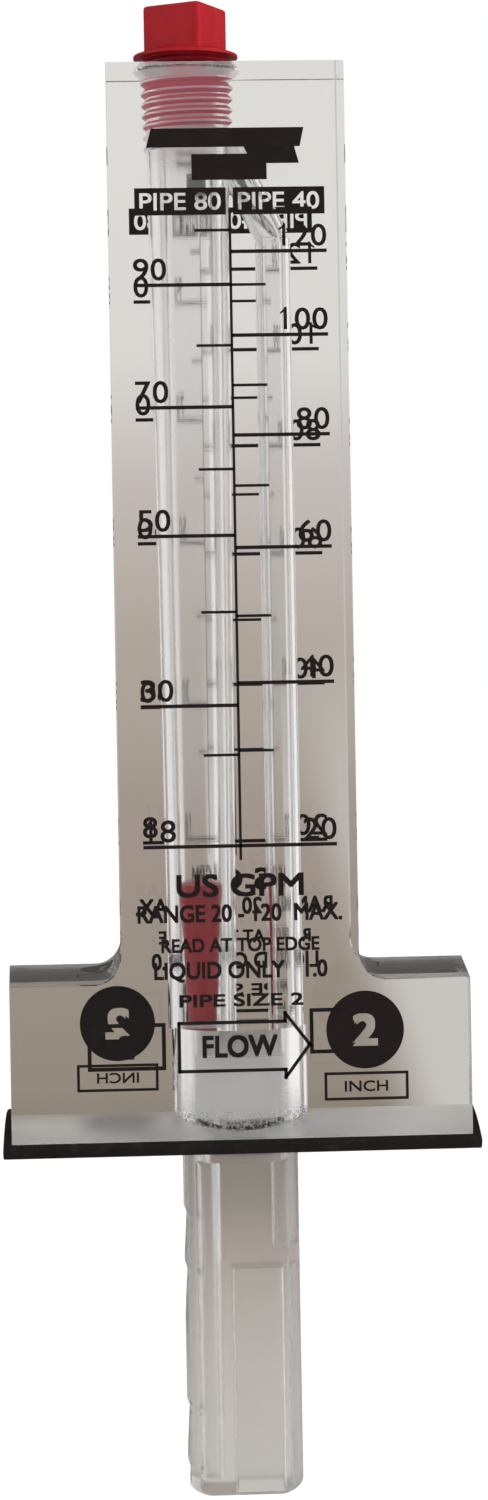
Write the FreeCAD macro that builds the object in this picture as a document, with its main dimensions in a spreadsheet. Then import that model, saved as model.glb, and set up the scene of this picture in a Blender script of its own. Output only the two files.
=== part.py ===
import FreeCAD, Part
import math
import os

import Sketcher
from FreeCAD import Vector

# Pitot flow meter for the top of a two inch pipe.
# The origin is at the crown of the pipe, on the axis of the probe.
# X runs along the pipe with the flow, -Y is the printed front, Z is up. Millimetres.

SIZES = [
    ("pipe_radius", 30.16, "outside radius of the pipe under the saddle"),
    ("gasket_thick", 1.6, "rubber sheet"),
    ("gasket_overhang", 1.25, "gasket past each end of the foot's front"),
    ("gasket_width", 28.4, "flat width, measured round the pipe"),
    ("gasket_hole_clearance", 0.25, "radial, round the probe"),
    ("block_thick", 25.4, "thickness of the clear slab"),
    ("block_top", 156.7, "top face above the pipe's crown"),
    ("riser_width", 34.925, "width of the upright"),
    ("saddle_length", 67.5, "length of the foot along the pipe, at the front"),
    ("shoulder_z", 22.0, "top of the foot above the pipe's crown"),
    ("shoulder_fillet", 4.0, "inside corner of upright and foot"),
    ("foot_flare_left", 0.9, "upstream end of the foot, longer at the back than at the front"),
    ("foot_flare_right", 1.6, "downstream end of the foot, longer at the back likewise"),
    ("bore_x", -5.4, "axis of the metering bore and of the plug"),
    ("bore_low_dia", 10.2, "metering bore at its foot"),
    ("bore_high_dia", 12.3, "metering bore under the port"),
    ("port_depth", 12.3, "depth of the threaded port"),
    ("port_dia", 13.9, "port at the top face"),
    ("port_chamfer", 1.2, "mouth of the port"),
    ("thread_taper", 16.0, "length in which the thread's diameter grows by one"),
    ("return_x", 7.0, "axis of the return bore"),
    ("return_dia", 5.3, "return bore"),
    ("return_top", 131.6, "where the return bore meets the crossover"),
    ("drill_point", 31.0, "degrees, cone at the blind end of the return bore"),
    ("crossover_dia", 5.0, "slanted passage from the port to the return bore"),
    ("crossover_tilt", 26.5, "degrees from upright"),
    ("crossover_length", 16.4, "from the return bore into the port"),
    ("spigot_dia", 20.0, "part of the probe inside the foot"),
    ("spigot_foot", 1.6, "shoulder under the spigot, above the pipe's crown"),
    ("spigot_ledge", 10.6, "top of the full width of the spigot"),
    ("spigot_pilot_dia", 19.2, "narrower end of the spigot"),
    ("spigot_top", 14.5, "end of the spigot"),
    ("spigot_clearance", 0.06, "radial, and over the end"),
    ("probe_dia", 17.3, "round part that passes through the pipe's wall"),
    ("probe_flats", 10.4, "thickness across the flats"),
    ("probe_round_end", -5.4, "where the flats begin, below the pipe's crown"),
    ("probe_end", -55.3, "tip of the probe"),
    ("probe_edge", 1.3, "rounded rim of the tip"),
    ("total_dia", 3.5, "total pressure channel"),
    ("total_wall", 2.0, "wall outside that channel"),
    ("total_x", "=total_wall + total_dia / 2 - probe_dia / 2", "axis of that channel"),
    ("total_end", -53.4, "blind end of that channel"),
    ("static_width", 3.0, "low pressure channel, square with round corners"),
    ("static_wall", 1.15, "wall outside that channel"),
    ("static_x", "=probe_dia / 2 - static_wall - static_width / 2", "axis of that channel"),
    ("static_end", -18.8, "blind end of that channel"),
    ("static_port_z", -9.9, "downstream hole"),
    ("sense_dia", 1.8, "holes that face the flow or look downstream"),
    ("sense_first", -14.6, "first upstream hole"),
    ("sense_second", -23.0, "second upstream hole"),
    ("sense_third", -43.5, "third upstream hole"),
    ("sense_fourth", -52.7, "fourth upstream hole"),
    ("scoop_depth", 0.5, "hollow at each upstream hole"),
    ("scoop_rise", 2.0, "hollow above the hole's centre"),
    ("scoop_run", 6.5, "run-out below the hole's centre"),
    ("core_rib", 1.55, "wall between the total pressure channel and the cored pocket"),
    ("core_wall", 2.65, "wall outside the cored pocket"),
    ("core_left", "=total_x + total_dia / 2 + core_rib", "upstream side of the cored pocket"),
    ("core_right", "=probe_dia / 2 - core_wall", "downstream side of the cored pocket"),
    ("core_depth", 6.4, "cored pocket from front to back"),
    ("core_top", -22.0, "roof of the cored pocket"),
    ("core_corner", 0.6, "round corners of the moulded channels"),
    ("float_gap", 0.3, "float above the end of the spigot"),
    ("float_length", 20.8, "height of the float"),
    ("float_head_dia", 9.7, "top edge of the float"),
    ("float_head_band", 1.4, "height of the float's full width"),
    ("float_waist_dia", 7.9, "below the cone"),
    ("float_cone", 7.0, "height of the cone under the head"),
    ("float_foot_dia", 7.2, "above the nose"),
    ("float_nose_dia", 6.4, "end of the float"),
    ("float_nose_length", 3.6, "height of the nose"),
    ("float_edge", 0.35, "softened top edge"),
    ("plug_out", 2.5, "flange above the top face, screwed part of the way"),
    ("plug_thread", 11.4, "length of the thread"),
    ("plug_clearance", 0.3, "radial, where the two threads engage"),
    ("plug_lead", 0.8, "chamfer at the end of the thread"),
    ("flange_dia", 15.7, "flange of the plug"),
    ("flange_rim", 0.35, "upright rim of the flange"),
    ("flange_rise", 1.6, "height of the flared flange"),
    ("head_width", 9.53, "square head across its flats"),
    ("head_height", 6.1, "square head above the flare"),
    ("head_turn", 61.2, "degrees that the head has turned"),
    ("head_edge", 0.5, "softened edges of the head"),
]

UPRIGHT = "V_Axis"
ALONG = "H_Axis"

# Two places count as one when they are this close.
SLACK = 0.01

# A level under the foot that the arch is sure to cut away.
UNDER_ARCH = "-sizes.block_thick / 4"


def make_sheet(doc):
    """Puts every driving size into one sheet, with its name as the alias."""
    sheet = doc.addObject("Spreadsheet::Sheet", "sizes")
    for row, (alias, number, note) in enumerate(SIZES, start=1):
        sheet.set(f"A{row}", alias)
        sheet.set(f"B{row}", str(number))
        sheet.setAlias(f"B{row}", alias)
        sheet.set(f"C{row}", note)
    doc.recompute()
    return sheet


def new_body(doc, name):
    """One body for one physical piece. Its label names its file."""
    body = doc.addObject("PartDesign::Body", name)
    body.Label = name
    return body


def new_sketch(body, name, plane, across="0", up="0", out="0", turn="0"):
    """A sketch on the body's own origin plane, with its origin moved by sheet sizes."""
    support = next(item for item in body.Origin.OriginFeatures if item.Role == plane)
    sketch = body.newObject("Sketcher::SketchObject", name)
    sketch.AttachmentSupport = (support, [""])
    sketch.MapMode = "FlatFace"
    sketch.AttachmentOffset = FreeCAD.Placement(Vector(), FreeCAD.Rotation(Vector(0, 0, 1), 0))
    sketch.setExpression("AttachmentOffset.Base.x", across)
    sketch.setExpression("AttachmentOffset.Base.y", up)
    sketch.setExpression("AttachmentOffset.Base.z", out)
    sketch.setExpression("AttachmentOffset.Rotation.Angle", turn)
    return sketch


def draw_outline(sketch, corners):
    """A closed outline. Each corner is a pair of expressions, across and up."""
    first = sketch.GeometryCount
    count = len(corners)
    spots = [
        Vector(math.cos(2 * math.pi * step / count), math.sin(2 * math.pi * step / count), 0)
        for step in range(count)
    ]
    for step in range(count):
        sketch.addGeometry(Part.LineSegment(spots[step], spots[(step + 1) % count]))
    for step in range(count):
        here = first + step
        after = first + (step + 1) % count
        sketch.addConstraint(Sketcher.Constraint("Coincident", here, 2, after, 1))
    for step, (across, up) in enumerate(corners):
        for kind, expression in (("DistanceX", across), ("DistanceY", up)):
            start = spots[step].x if kind == "DistanceX" else spots[step].y
            index = sketch.addConstraint(
                Sketcher.Constraint(kind, -1, 1, first + step, 1, start)
            )
            sketch.setExpression(f"Constraints[{index}]", expression)


def draw_circle(sketch, radius, across="0", up="0"):
    """A circle, with its radius and centre as expressions."""
    here = sketch.addGeometry(Part.Circle(Vector(1, 1, 0), Vector(0, 0, 1), 1))
    index = sketch.addConstraint(Sketcher.Constraint("Radius", here, 1))
    sketch.setExpression(f"Constraints[{index}]", radius)
    for kind, expression in (("DistanceX", across), ("DistanceY", up)):
        index = sketch.addConstraint(Sketcher.Constraint(kind, -1, 1, here, 3, 1))
        sketch.setExpression(f"Constraints[{index}]", expression)


def turned(body, kind, name, sketch, axis=UPRIGHT, angle="360"):
    """A Revolution adds the turned profile, a Groove cuts it."""
    feature = body.newObject(f"PartDesign::{kind}", name)
    feature.Profile = (sketch, [""])
    feature.ReferenceAxis = (sketch, [axis])
    feature.Midplane = True
    feature.setExpression("Angle", angle)
    return feature


def extruded(body, kind, name, sketch, length, both_ways=False, reverse=False):
    """A Pad adds the outline, a Pocket cuts it, over the length of an expression."""
    feature = body.newObject(f"PartDesign::{kind}", name)
    feature.Profile = (sketch, [""])
    feature.Midplane = both_ways
    feature.Reversed = reverse
    feature.setExpression("Length", length)
    return feature


def rounded(body, name, base, chosen, radius):
    """Fillets the edges of a feature that the test chooses."""
    body.Document.recompute()
    edges = [f"Edge{spot}" for spot, edge in enumerate(base.Shape.Edges, start=1) if chosen(edge)]
    if not edges:
        raise RuntimeError(f"{name} found no edge to round")
    fillet = body.newObject("PartDesign::Fillet", name)
    fillet.Base = (base, edges)
    fillet.setExpression("Radius", radius)
    return fillet


def is_edge(edge, direction, across=None, up=None, depth=None):
    """Whether a straight edge runs along a direction through the given place."""
    if not isinstance(edge.Curve, Part.Line):
        return False
    if abs(abs(edge.Curve.Direction.dot(direction)) - 1) > SLACK:
        return False
    middle = edge.CenterOfMass
    wanted = ((middle.x, across), (middle.z, up), (middle.y, depth))
    return all(place is None or abs(found - place) < SLACK for found, place in wanted)


def build_gasket(doc):
    """Rubber sheet, cut flat and bent round the pipe, with a hole for the probe."""
    body = new_body(doc, "saddle_gasket")
    section = new_sketch(body, "gasket_section", "XZ_Plane", up="-sizes.pipe_radius")
    half = "(sizes.saddle_length / 2 + sizes.gasket_overhang)"
    inner = "sizes.pipe_radius"
    outer = "sizes.pipe_radius + sizes.gasket_thick"
    draw_outline(section, [(f"-{half}", inner), (half, inner), (half, outer), (f"-{half}", outer)])
    bend = "sizes.gasket_width / (sizes.pipe_radius + sizes.gasket_thick / 2) * 180 / pi"
    turned(body, "Revolution", "gasket_sheet", section, axis=ALONG, angle=bend)
    hole = new_sketch(body, "gasket_hole_outline", "XY_Plane")
    draw_circle(hole, "sizes.probe_dia / 2 + sizes.gasket_hole_clearance")
    extruded(body, "Pocket", "gasket_hole", hole, "sizes.probe_dia", both_ways=True)
    return body


def build_body(doc, sheet):
    """The clear slab: upright and foot in one, with all its passages."""
    body = new_body(doc, "meter_body")
    outline = new_sketch(body, "front_outline", "XZ_Plane")
    upright = "sizes.riser_width / 2"
    foot = "sizes.saddle_length / 2"
    left = f"-{foot} - sizes.foot_flare_left"
    right = f"{foot} + sizes.foot_flare_right"
    draw_outline(outline, [
        (left, UNDER_ARCH), (right, UNDER_ARCH),
        (right, "sizes.shoulder_z"), (upright, "sizes.shoulder_z"),
        (upright, "sizes.block_top"), (f"-{upright}", "sizes.block_top"),
        (f"-{upright}", "sizes.shoulder_z"), (left, "sizes.shoulder_z"),
    ])
    slab = extruded(body, "Pad", "slab", outline, "sizes.block_thick", both_ways=True)

    depth = Vector(0, 1, 0)
    rounded(
        body, "shoulder_corners", slab,
        lambda edge: is_edge(edge, depth, up=sheet.shoulder_z)
        and abs(abs(edge.CenterOfMass.x) - sheet.riser_width / 2) < SLACK,
        "sizes.shoulder_fillet",
    )

    # Each end is sawn at a slant. The line of the cut runs on past both faces of the slab.
    ends = new_sketch(body, "foot_ends", "XY_Plane")
    past = "sizes.block_thick"
    for side, flare in (("-", "sizes.foot_flare_left"), ("", "sizes.foot_flare_right")):
        near = f"{side}({foot} - {flare} / 2)"
        far = f"{side}({foot} + {flare} * 3 / 2)"
        clear = f"{side}sizes.saddle_length"
        draw_outline(ends, [(near, f"-{past}"), (clear, f"-{past}"), (clear, past), (far, past)])
    extruded(body, "Pocket", "sawn_ends", ends, "sizes.block_top", both_ways=True)

    arch = new_sketch(body, "arch_outline", "YZ_Plane", up="-sizes.pipe_radius")
    draw_circle(arch, "sizes.pipe_radius + sizes.gasket_thick")
    extruded(body, "Pocket", "arch", arch, "2 * sizes.saddle_length", both_ways=True)

    metering = new_sketch(body, "metering_profile", "XZ_Plane", across="sizes.bore_x")
    floor = "sizes.block_top - sizes.port_depth"
    above = "sizes.block_top + sizes.port_chamfer"
    port = "sizes.port_dia / 2"
    port_low = "sizes.port_dia / 2 - sizes.port_depth / sizes.thread_taper / 2"
    draw_outline(metering, [
        ("0", "sizes.spigot_top"), ("sizes.bore_low_dia / 2", "sizes.spigot_top"),
        ("sizes.bore_high_dia / 2", floor), (port_low, floor),
        (port, "sizes.block_top - sizes.port_chamfer"),
        (f"{port} + 2 * sizes.port_chamfer", above), ("0", above),
    ])
    turned(body, "Groove", "metering_bore_and_port", metering)

    back = new_sketch(body, "return_profile", "XZ_Plane", across="sizes.return_x")
    wall = "sizes.return_dia / 2"
    draw_outline(back, [
        ("0", "sizes.spigot_top"), (wall, "sizes.spigot_top"), (wall, "sizes.return_top"),
        ("0", "sizes.return_top + sizes.return_dia / 2 * tan(sizes.drill_point)"),
    ])
    turned(body, "Groove", "return_bore", back)

    slant = new_sketch(
        body, "crossover_profile", "XZ_Plane", across="sizes.return_x", up="sizes.return_top",
        turn="sizes.crossover_tilt",
    )
    bore = "sizes.crossover_dia / 2"
    draw_outline(slant, [
        ("0", "0"), (bore, "0"), (bore, "sizes.crossover_length"), ("0", "sizes.crossover_length"),
    ])
    turned(body, "Groove", "crossover", slant)

    socket = new_sketch(body, "socket_profile", "XZ_Plane")
    wide = "sizes.spigot_dia / 2 + sizes.spigot_clearance"
    draw_outline(socket, [
        ("0", UNDER_ARCH), (wide, UNDER_ARCH),
        (wide, "sizes.spigot_top + sizes.spigot_clearance"),
        ("0", "sizes.spigot_top + sizes.spigot_clearance"),
    ])
    turned(body, "Groove", "socket", socket)
    return body


def build_probe(doc, sheet):
    """Moulded probe: spigot, round neck, flats, two channels and a cored pocket."""
    body = new_body(doc, "pitot_probe")
    profile = new_sketch(body, "probe_profile", "XZ_Plane")
    radius = "sizes.probe_dia / 2"
    draw_outline(profile, [
        ("0", "sizes.probe_end"), (radius, "sizes.probe_end"), (radius, "sizes.spigot_foot"),
        ("sizes.spigot_dia / 2", "sizes.spigot_foot"),
        ("sizes.spigot_dia / 2", "sizes.spigot_ledge"),
        ("sizes.spigot_pilot_dia / 2", "sizes.spigot_ledge"),
        ("sizes.spigot_pilot_dia / 2", "sizes.spigot_top"), ("0", "sizes.spigot_top"),
    ])
    form = turned(body, "Revolution", "turned_form", profile)
    rounded(
        body, "tip_rim", form,
        lambda edge: abs(edge.BoundBox.ZMax - sheet.probe_end) < SLACK
        and edge.BoundBox.XLength > sheet.probe_dia / 2,
        "sizes.probe_edge",
    )

    flats = new_sketch(body, "flats_outline", "YZ_Plane")
    for side in ("", "-"):
        near = f"{side}sizes.probe_flats / 2"
        far = f"{side}sizes.probe_dia"
        low = "sizes.probe_end - sizes.probe_dia"
        draw_outline(flats, [
            (near, low), (far, low), (far, "sizes.probe_round_end"), (near, "sizes.probe_round_end"),
        ])
    extruded(body, "Pocket", "flats", flats, "2 * sizes.probe_dia", both_ways=True)

    total = new_sketch(
        body, "total_outline", "XY_Plane", across="sizes.total_x", out="sizes.spigot_top"
    )
    draw_circle(total, "sizes.total_dia / 2")
    extruded(body, "Pocket", "total_channel", total, "sizes.spigot_top - sizes.total_end")

    static = new_sketch(
        body, "static_outline", "XY_Plane", across="sizes.static_x", out="sizes.spigot_top"
    )
    half = "sizes.static_width / 2"
    draw_outline(static, [(f"-{half}", f"-{half}"), (half, f"-{half}"), (half, half), (f"-{half}", half)])
    low = extruded(body, "Pocket", "static_channel", static, "sizes.spigot_top - sizes.static_end")
    upright = Vector(0, 0, 1)
    reach = sheet.static_width / 2
    rounded(
        body, "static_corners", low,
        lambda edge: is_edge(edge, upright)
        and abs(abs(edge.CenterOfMass.x - sheet.static_x) - reach) < SLACK
        and abs(abs(edge.CenterOfMass.y) - reach) < SLACK,
        "sizes.core_corner",
    )

    core = new_sketch(body, "core_outline", "XY_Plane", out="sizes.probe_end")
    draw_outline(core, [
        ("sizes.core_left", "-sizes.core_depth / 2"), ("sizes.core_right", "-sizes.core_depth / 2"),
        ("sizes.core_right", "sizes.core_depth / 2"), ("sizes.core_left", "sizes.core_depth / 2"),
    ])
    pocket = extruded(
        body, "Pocket", "core_pocket", core, "sizes.core_top - sizes.probe_end", reverse=True
    )
    rounded(
        body, "core_corners", pocket,
        lambda edge: is_edge(edge, upright)
        and abs(abs(edge.CenterOfMass.y) - sheet.core_depth / 2) < SLACK
        and edge.CenterOfMass.z < sheet.core_top,
        "sizes.core_corner",
    )

    sense = new_sketch(body, "sense_outline", "YZ_Plane", out="sizes.total_x")
    scoops = new_sketch(body, "scoop_outline", "XZ_Plane")
    for place in ("sizes.sense_first", "sizes.sense_second", "sizes.sense_third", "sizes.sense_fourth"):
        draw_circle(sense, "sizes.sense_dia / 2", up=place)
        draw_outline(scoops, [
            (f"-{radius} - sizes.scoop_depth", f"{place} + sizes.scoop_rise + sizes.scoop_depth"),
            (f"-{radius} + sizes.scoop_depth", f"{place} + sizes.sense_dia / 2"),
            (f"-{radius}", f"{place} - sizes.scoop_run"),
            (f"-{radius} - sizes.scoop_depth", f"{place} - sizes.scoop_run"),
        ])
    extruded(body, "Pocket", "sense_holes", sense, "sizes.probe_dia / 2")
    extruded(body, "Pocket", "scoops", scoops, "sizes.probe_dia", both_ways=True)

    outlet = new_sketch(body, "static_port_outline", "YZ_Plane", out="sizes.static_x")
    draw_circle(outlet, "sizes.sense_dia / 2", up="sizes.static_port_z")
    extruded(body, "Pocket", "static_port", outlet, "sizes.probe_dia / 2", reverse=True)
    return body


def build_float(doc):
    """Turned float: a sharp-edged head that is read on the scale, a cone and a nose."""
    body = new_body(doc, "indicator_float")
    profile = new_sketch(
        body, "float_profile", "XZ_Plane", across="sizes.bore_x",
        up="sizes.spigot_top + sizes.float_gap",
    )
    top = "sizes.float_length"
    head = "sizes.float_head_dia / 2"
    waist = "sizes.float_length - sizes.float_head_band - sizes.float_cone"
    draw_outline(profile, [
        ("0", "0"), ("sizes.float_nose_dia / 2 - sizes.float_edge", "0"),
        ("sizes.float_nose_dia / 2", "sizes.float_edge"),
        ("sizes.float_nose_dia / 2", "sizes.float_nose_length"),
        ("sizes.float_foot_dia / 2", "sizes.float_nose_length"),
        ("sizes.float_waist_dia / 2", waist), (head, f"{top} - sizes.float_head_band"),
        (head, f"{top} - sizes.float_edge"), (f"{head} - sizes.float_edge", top), ("0", top),
    ])
    turned(body, "Revolution", "float_form", profile)
    return body


def build_plug(doc, sheet):
    """Moulded pipe plug: tapered shank where the thread is, flared flange, square head."""
    body = new_body(doc, "top_plug")
    profile = new_sketch(
        body, "plug_profile", "XZ_Plane", across="sizes.bore_x",
        up="sizes.block_top + sizes.plug_out",
    )
    root = "sizes.port_dia / 2 - sizes.plug_clearance"
    top = f"{root} + sizes.plug_out / sizes.thread_taper / 2"
    end = f"{root} - (sizes.plug_thread - sizes.plug_out) / sizes.thread_taper / 2"
    draw_outline(profile, [
        ("0", "-sizes.plug_thread"), (f"{end} - sizes.plug_lead", "-sizes.plug_thread"),
        (end, "-sizes.plug_thread + sizes.plug_lead"), (top, "0"), ("sizes.flange_dia / 2", "0"),
        ("sizes.flange_dia / 2", "sizes.flange_rim"),
        ("sizes.head_width / 2", "sizes.flange_rise"), ("0", "sizes.flange_rise"),
    ])
    turned(body, "Revolution", "shank_and_flange", profile)
    square = new_sketch(
        body, "head_outline", "XY_Plane", across="sizes.bore_x",
        out="sizes.block_top + sizes.plug_out + sizes.flange_rim", turn="sizes.head_turn",
    )
    half = "sizes.head_width / 2"
    draw_outline(square, [(f"-{half}", f"-{half}"), (half, f"-{half}"), (half, half), (f"-{half}", half)])
    head = extruded(
        body, "Pad", "square_head", square,
        "sizes.head_height + sizes.flange_rise - sizes.flange_rim",
    )
    top_z = sheet.block_top + sheet.plug_out + sheet.flange_rise + sheet.head_height
    rounded(
        body, "head_edges", head,
        lambda edge: abs(edge.BoundBox.ZMax - top_z) < SLACK,
        "sizes.head_edge",
    )
    return body


def check_document(doc, bodies):
    """Stops when a feature failed or a piece is empty or broken."""
    for item in doc.Objects:
        if "Invalid" in item.State or "Error" in item.State:
            raise RuntimeError(f"{item.Label} failed: {item.State}")
    for body in bodies:
        shape = body.Shape
        if shape.isNull() or not shape.isValid() or len(shape.Solids) != 1:
            raise RuntimeError(f"{body.Label} is not one sound solid")


def main():
    doc = FreeCAD.newDocument("flow_meter")
    sheet = make_sheet(doc)
    bodies = [
        build_gasket(doc),
        build_body(doc, sheet),
        build_probe(doc, sheet),
        build_float(doc),
        build_plug(doc, sheet),
    ]
    doc.recompute()
    check_document(doc, bodies)
    os.makedirs("parts", exist_ok=True)
    for body in bodies:
        body.Shape.exportStep(f"parts/{body.Label}.step")
        box = body.Shape.BoundBox
        print(
            f"{body.Label}: {body.Shape.Volume:.1f} mm3,"
            f" x {box.XMin:.2f} {box.XMax:.2f}, y {box.YMin:.2f} {box.YMax:.2f},"
            f" z {box.ZMin:.2f} {box.ZMax:.2f}"
        )


main()
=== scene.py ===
"""Looks of a clear block flow meter that stands on a pipe.

The clear block, its moulded probe, the rubber saddle gasket, the red float and the red
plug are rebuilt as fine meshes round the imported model, with their passages, threads and
printed faces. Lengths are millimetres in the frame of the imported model, where X runs
along the pipe, -Y is the printed front and Z is up. Meshes are made in metres.
"""

import logging
import math
from dataclasses import dataclass, field
from enum import Enum
from typing import Any

import bpy
import numpy as np
from mathutils import Matrix, Vector


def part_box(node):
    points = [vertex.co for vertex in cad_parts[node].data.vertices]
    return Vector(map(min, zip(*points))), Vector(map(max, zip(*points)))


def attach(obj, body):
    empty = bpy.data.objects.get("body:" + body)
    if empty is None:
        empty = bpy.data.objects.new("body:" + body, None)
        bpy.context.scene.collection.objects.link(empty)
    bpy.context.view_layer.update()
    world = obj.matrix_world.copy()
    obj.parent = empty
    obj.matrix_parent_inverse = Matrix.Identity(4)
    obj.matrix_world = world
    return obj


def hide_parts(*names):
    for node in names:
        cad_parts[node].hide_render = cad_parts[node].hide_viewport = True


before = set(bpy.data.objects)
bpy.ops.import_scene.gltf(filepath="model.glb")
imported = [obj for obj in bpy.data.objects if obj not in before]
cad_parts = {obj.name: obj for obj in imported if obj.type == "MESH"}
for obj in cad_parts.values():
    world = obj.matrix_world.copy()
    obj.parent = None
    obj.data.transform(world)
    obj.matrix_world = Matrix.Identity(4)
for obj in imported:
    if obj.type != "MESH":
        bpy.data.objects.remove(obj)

LOG = logging.getLogger("flow_meter")
MM = 0.001
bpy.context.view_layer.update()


class Body(Enum):
    """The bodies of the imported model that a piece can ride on."""

    HOUSING = "housing"
    FLOAT = "float"
    PLUG = "plug"


class Side(Enum):
    """The two printed faces, by the sign of Y that each looks along."""

    FRONT = -1
    BACK = 1


class Anchor(Enum):
    """Which end of a line of lettering stays at its place."""

    LEFT = "LEFT"
    CENTRE = "CENTER"
    RIGHT = "RIGHT"


def node_box(node: str) -> tuple[np.ndarray, np.ndarray]:
    """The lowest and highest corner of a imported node.

    Args:
        node: name of the node.

    Returns:
        Two arrays of three numbers in millimetres.
    """
    low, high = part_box(node)
    return np.array(low) / MM, np.array(high) / MM


def smooth_step(low: float, high: float, value: np.ndarray) -> np.ndarray:
    """Eases from 0 to 1: t * t * (3 - 2 t), with t the share of the way from low to high."""
    share = np.clip((value - low) / (high - low), 0.0, 1.0)
    return share * share * (3.0 - 2.0 * share)


def linked(name: str, data: bpy.types.ID) -> bpy.types.Object:
    """A new object that is linked to the scene.

    Args:
        name: name of the object.
        data: its mesh, curve, camera or lamp.

    Returns:
        The object.
    """
    made = bpy.data.objects.new(name, data)
    bpy.context.scene.collection.objects.link(made)
    return made


def discard(piece: bpy.types.Object) -> None:
    """Removes a mesh object together with its mesh.

    Args:
        piece: the object.
    """
    mesh = piece.data
    bpy.data.objects.remove(piece)
    bpy.data.meshes.remove(mesh)


def mesh_parts(mesh: bpy.types.Mesh) -> tuple[np.ndarray, list[list[int]]]:
    """What a mesh is made of.

    Args:
        mesh: any mesh.

    Returns:
        Its points, one to a row, and its faces.
    """
    points = np.empty(len(mesh.vertices) * 3)
    mesh.vertices.foreach_get("co", points)
    return points.reshape(-1, 3), [list(face.vertices) for face in mesh.polygons]


@dataclass
class Surface:
    """Points and faces of one or more closed skins, before they become a mesh.

    Attributes:
        points: array of n points in millimetres.
        faces: lists of point numbers, each a face.
    """

    points: np.ndarray
    faces: list[list[int]]

    def joined(self, *others: "Surface") -> "Surface":
        """This surface and others as one, with no welding.

        Args:
            others: surfaces that don't touch this one.

        Returns:
            The joined surface.
        """
        points = [self.points]
        faces = list(self.faces)
        for other in others:
            shift = sum(len(block) for block in points)
            faces += [[spot + shift for spot in face] for face in other.faces]
            points.append(other.points)
        return Surface(np.vstack(points), faces)

    def moved(self, x: float = 0.0, y: float = 0.0, z: float = 0.0) -> "Surface":
        """The surface carried by a vector."""
        return Surface(self.points + np.array([x, y, z]), self.faces)

    def turned_by(self, matrix: Matrix) -> "Surface":
        """The surface turned by a matrix about the origin."""
        return Surface(self.points @ np.array(matrix.to_3x3()).T, self.faces)

    def welded(self) -> "Surface":
        """The surface with points that share a place made one, and collapsed faces left out.

        Returns:
            The welded surface.
        """
        places, back = np.unique(np.round(self.points, 4), axis=0, return_inverse=True)
        back = back.ravel()
        faces = []
        for face in self.faces:
            kept = list(dict.fromkeys(int(back[spot]) for spot in face))
            if len(kept) > 2:
                faces.append(kept)
        return Surface(places, faces)

    def volume(self) -> float:
        """Signed volume: the sum over all faces of corner . (edge x edge) / 6.

        Returns:
            Cubic millimetres, below zero where the faces point inward.
        """
        total = 0.0
        for size in {len(face) for face in self.faces}:
            block = self.points[np.array([face for face in self.faces if len(face) == size])]
            first = block[:, :1]
            cross = np.cross(block[:, 1:-1] - first, block[:, 2:] - first)
            total += float(np.einsum("ij,ikj->", block[:, 0], cross)) / 6.0
        return total

    def outward(self) -> "Surface":
        """The same surface with every face turned over if its volume is negative.

        Returns:
            A surface whose faces point outward.
        """
        if self.volume() >= 0.0:
            return self
        return Surface(self.points, [face[::-1] for face in self.faces])

    def as_object(self, name: str) -> bpy.types.Object:
        """Makes the mesh object, in metres, and links it.

        Args:
            name: name of the object and of its mesh.

        Returns:
            The new object at the origin.
        """
        mesh = bpy.data.meshes.new(name)
        mesh.from_pydata((self.points * MM).tolist(), [], self.faces)
        mesh.update()
        return linked(name, mesh)


def loft(rings: np.ndarray) -> Surface:
    """A closed skin through rings of points, with a flat face on the first and last ring.

    Row i and row i + 1 are joined by quads (i, j), (i, j + 1), (i + 1, j + 1), (i + 1, j).

    Args:
        rings: array of rows by columns by 3.

    Returns:
        The surface, with its faces outward.
    """
    rows, columns, _ = rings.shape
    start = np.arange(rows - 1)[:, None] * columns
    here = np.arange(columns)[None, :]
    after = (here + 1) % columns
    corners = [start + here, start + after, start + columns + after, start + columns + here]
    quads = np.stack(corners, axis=-1).reshape(-1, 4).tolist()
    low_cap = list(range(columns))[::-1]
    high_cap = list(range((rows - 1) * columns, rows * columns))
    return Surface(rings.reshape(-1, 3), [*quads, low_cap, high_cap]).outward()


def even_angles(count: int) -> np.ndarray:
    """Angles of a whole turn in equal steps, from zero, in radians."""
    return np.arange(count) * (2.0 * math.pi / count)


def turned(radii: np.ndarray, heights: np.ndarray, angles: np.ndarray, x: float) -> Surface:
    """A skin round an upright axis: the point is (x + r cos a, r sin a, h).

    Args:
        radii: rows by columns, or one radius for each row.
        heights: one for each row.
        angles: one for each column, in radians.
        x: place of the axis.

    Returns:
        The closed surface.
    """
    radii = np.asarray(radii, float)
    if radii.ndim == 1:
        radii = np.repeat(radii[:, None], len(angles), axis=1)
    tall = np.repeat(np.asarray(heights, float)[:, None], len(angles), axis=1)
    return loft(np.stack([x + radii * np.cos(angles), radii * np.sin(angles), tall], axis=-1))


def lathe(profile: list[tuple[float, float]], x: float = 0.0, count: int = 160) -> Surface:
    """A body of revolution from pairs of radius and height, listed from the bottom up."""
    radii, heights = np.array(profile, float).T
    return turned(radii, heights, even_angles(count), x)


def arc(x: float, z: float, radius: float, start: float, end: float, count: int) -> np.ndarray:
    """Points of an arc: centre + radius (cos, sin) of angles in equal steps, in degrees."""
    angles = np.radians(np.linspace(start, end, count))
    return np.stack([x + radius * np.cos(angles), z + radius * np.sin(angles)], axis=-1)


def circle(x: float, z: float, radius: float, count: int) -> np.ndarray:
    """A whole circle of so many points, anticlockwise."""
    return arc(x, z, radius, 0, 360, count + 1)[:-1]


def rectangle(left: float, right: float, low: float, high: float) -> list[tuple[float, float]]:
    """The corners of a rectangle, anticlockwise from its lower left corner."""
    return [(left, low), (right, low), (right, high), (left, high)]


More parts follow.
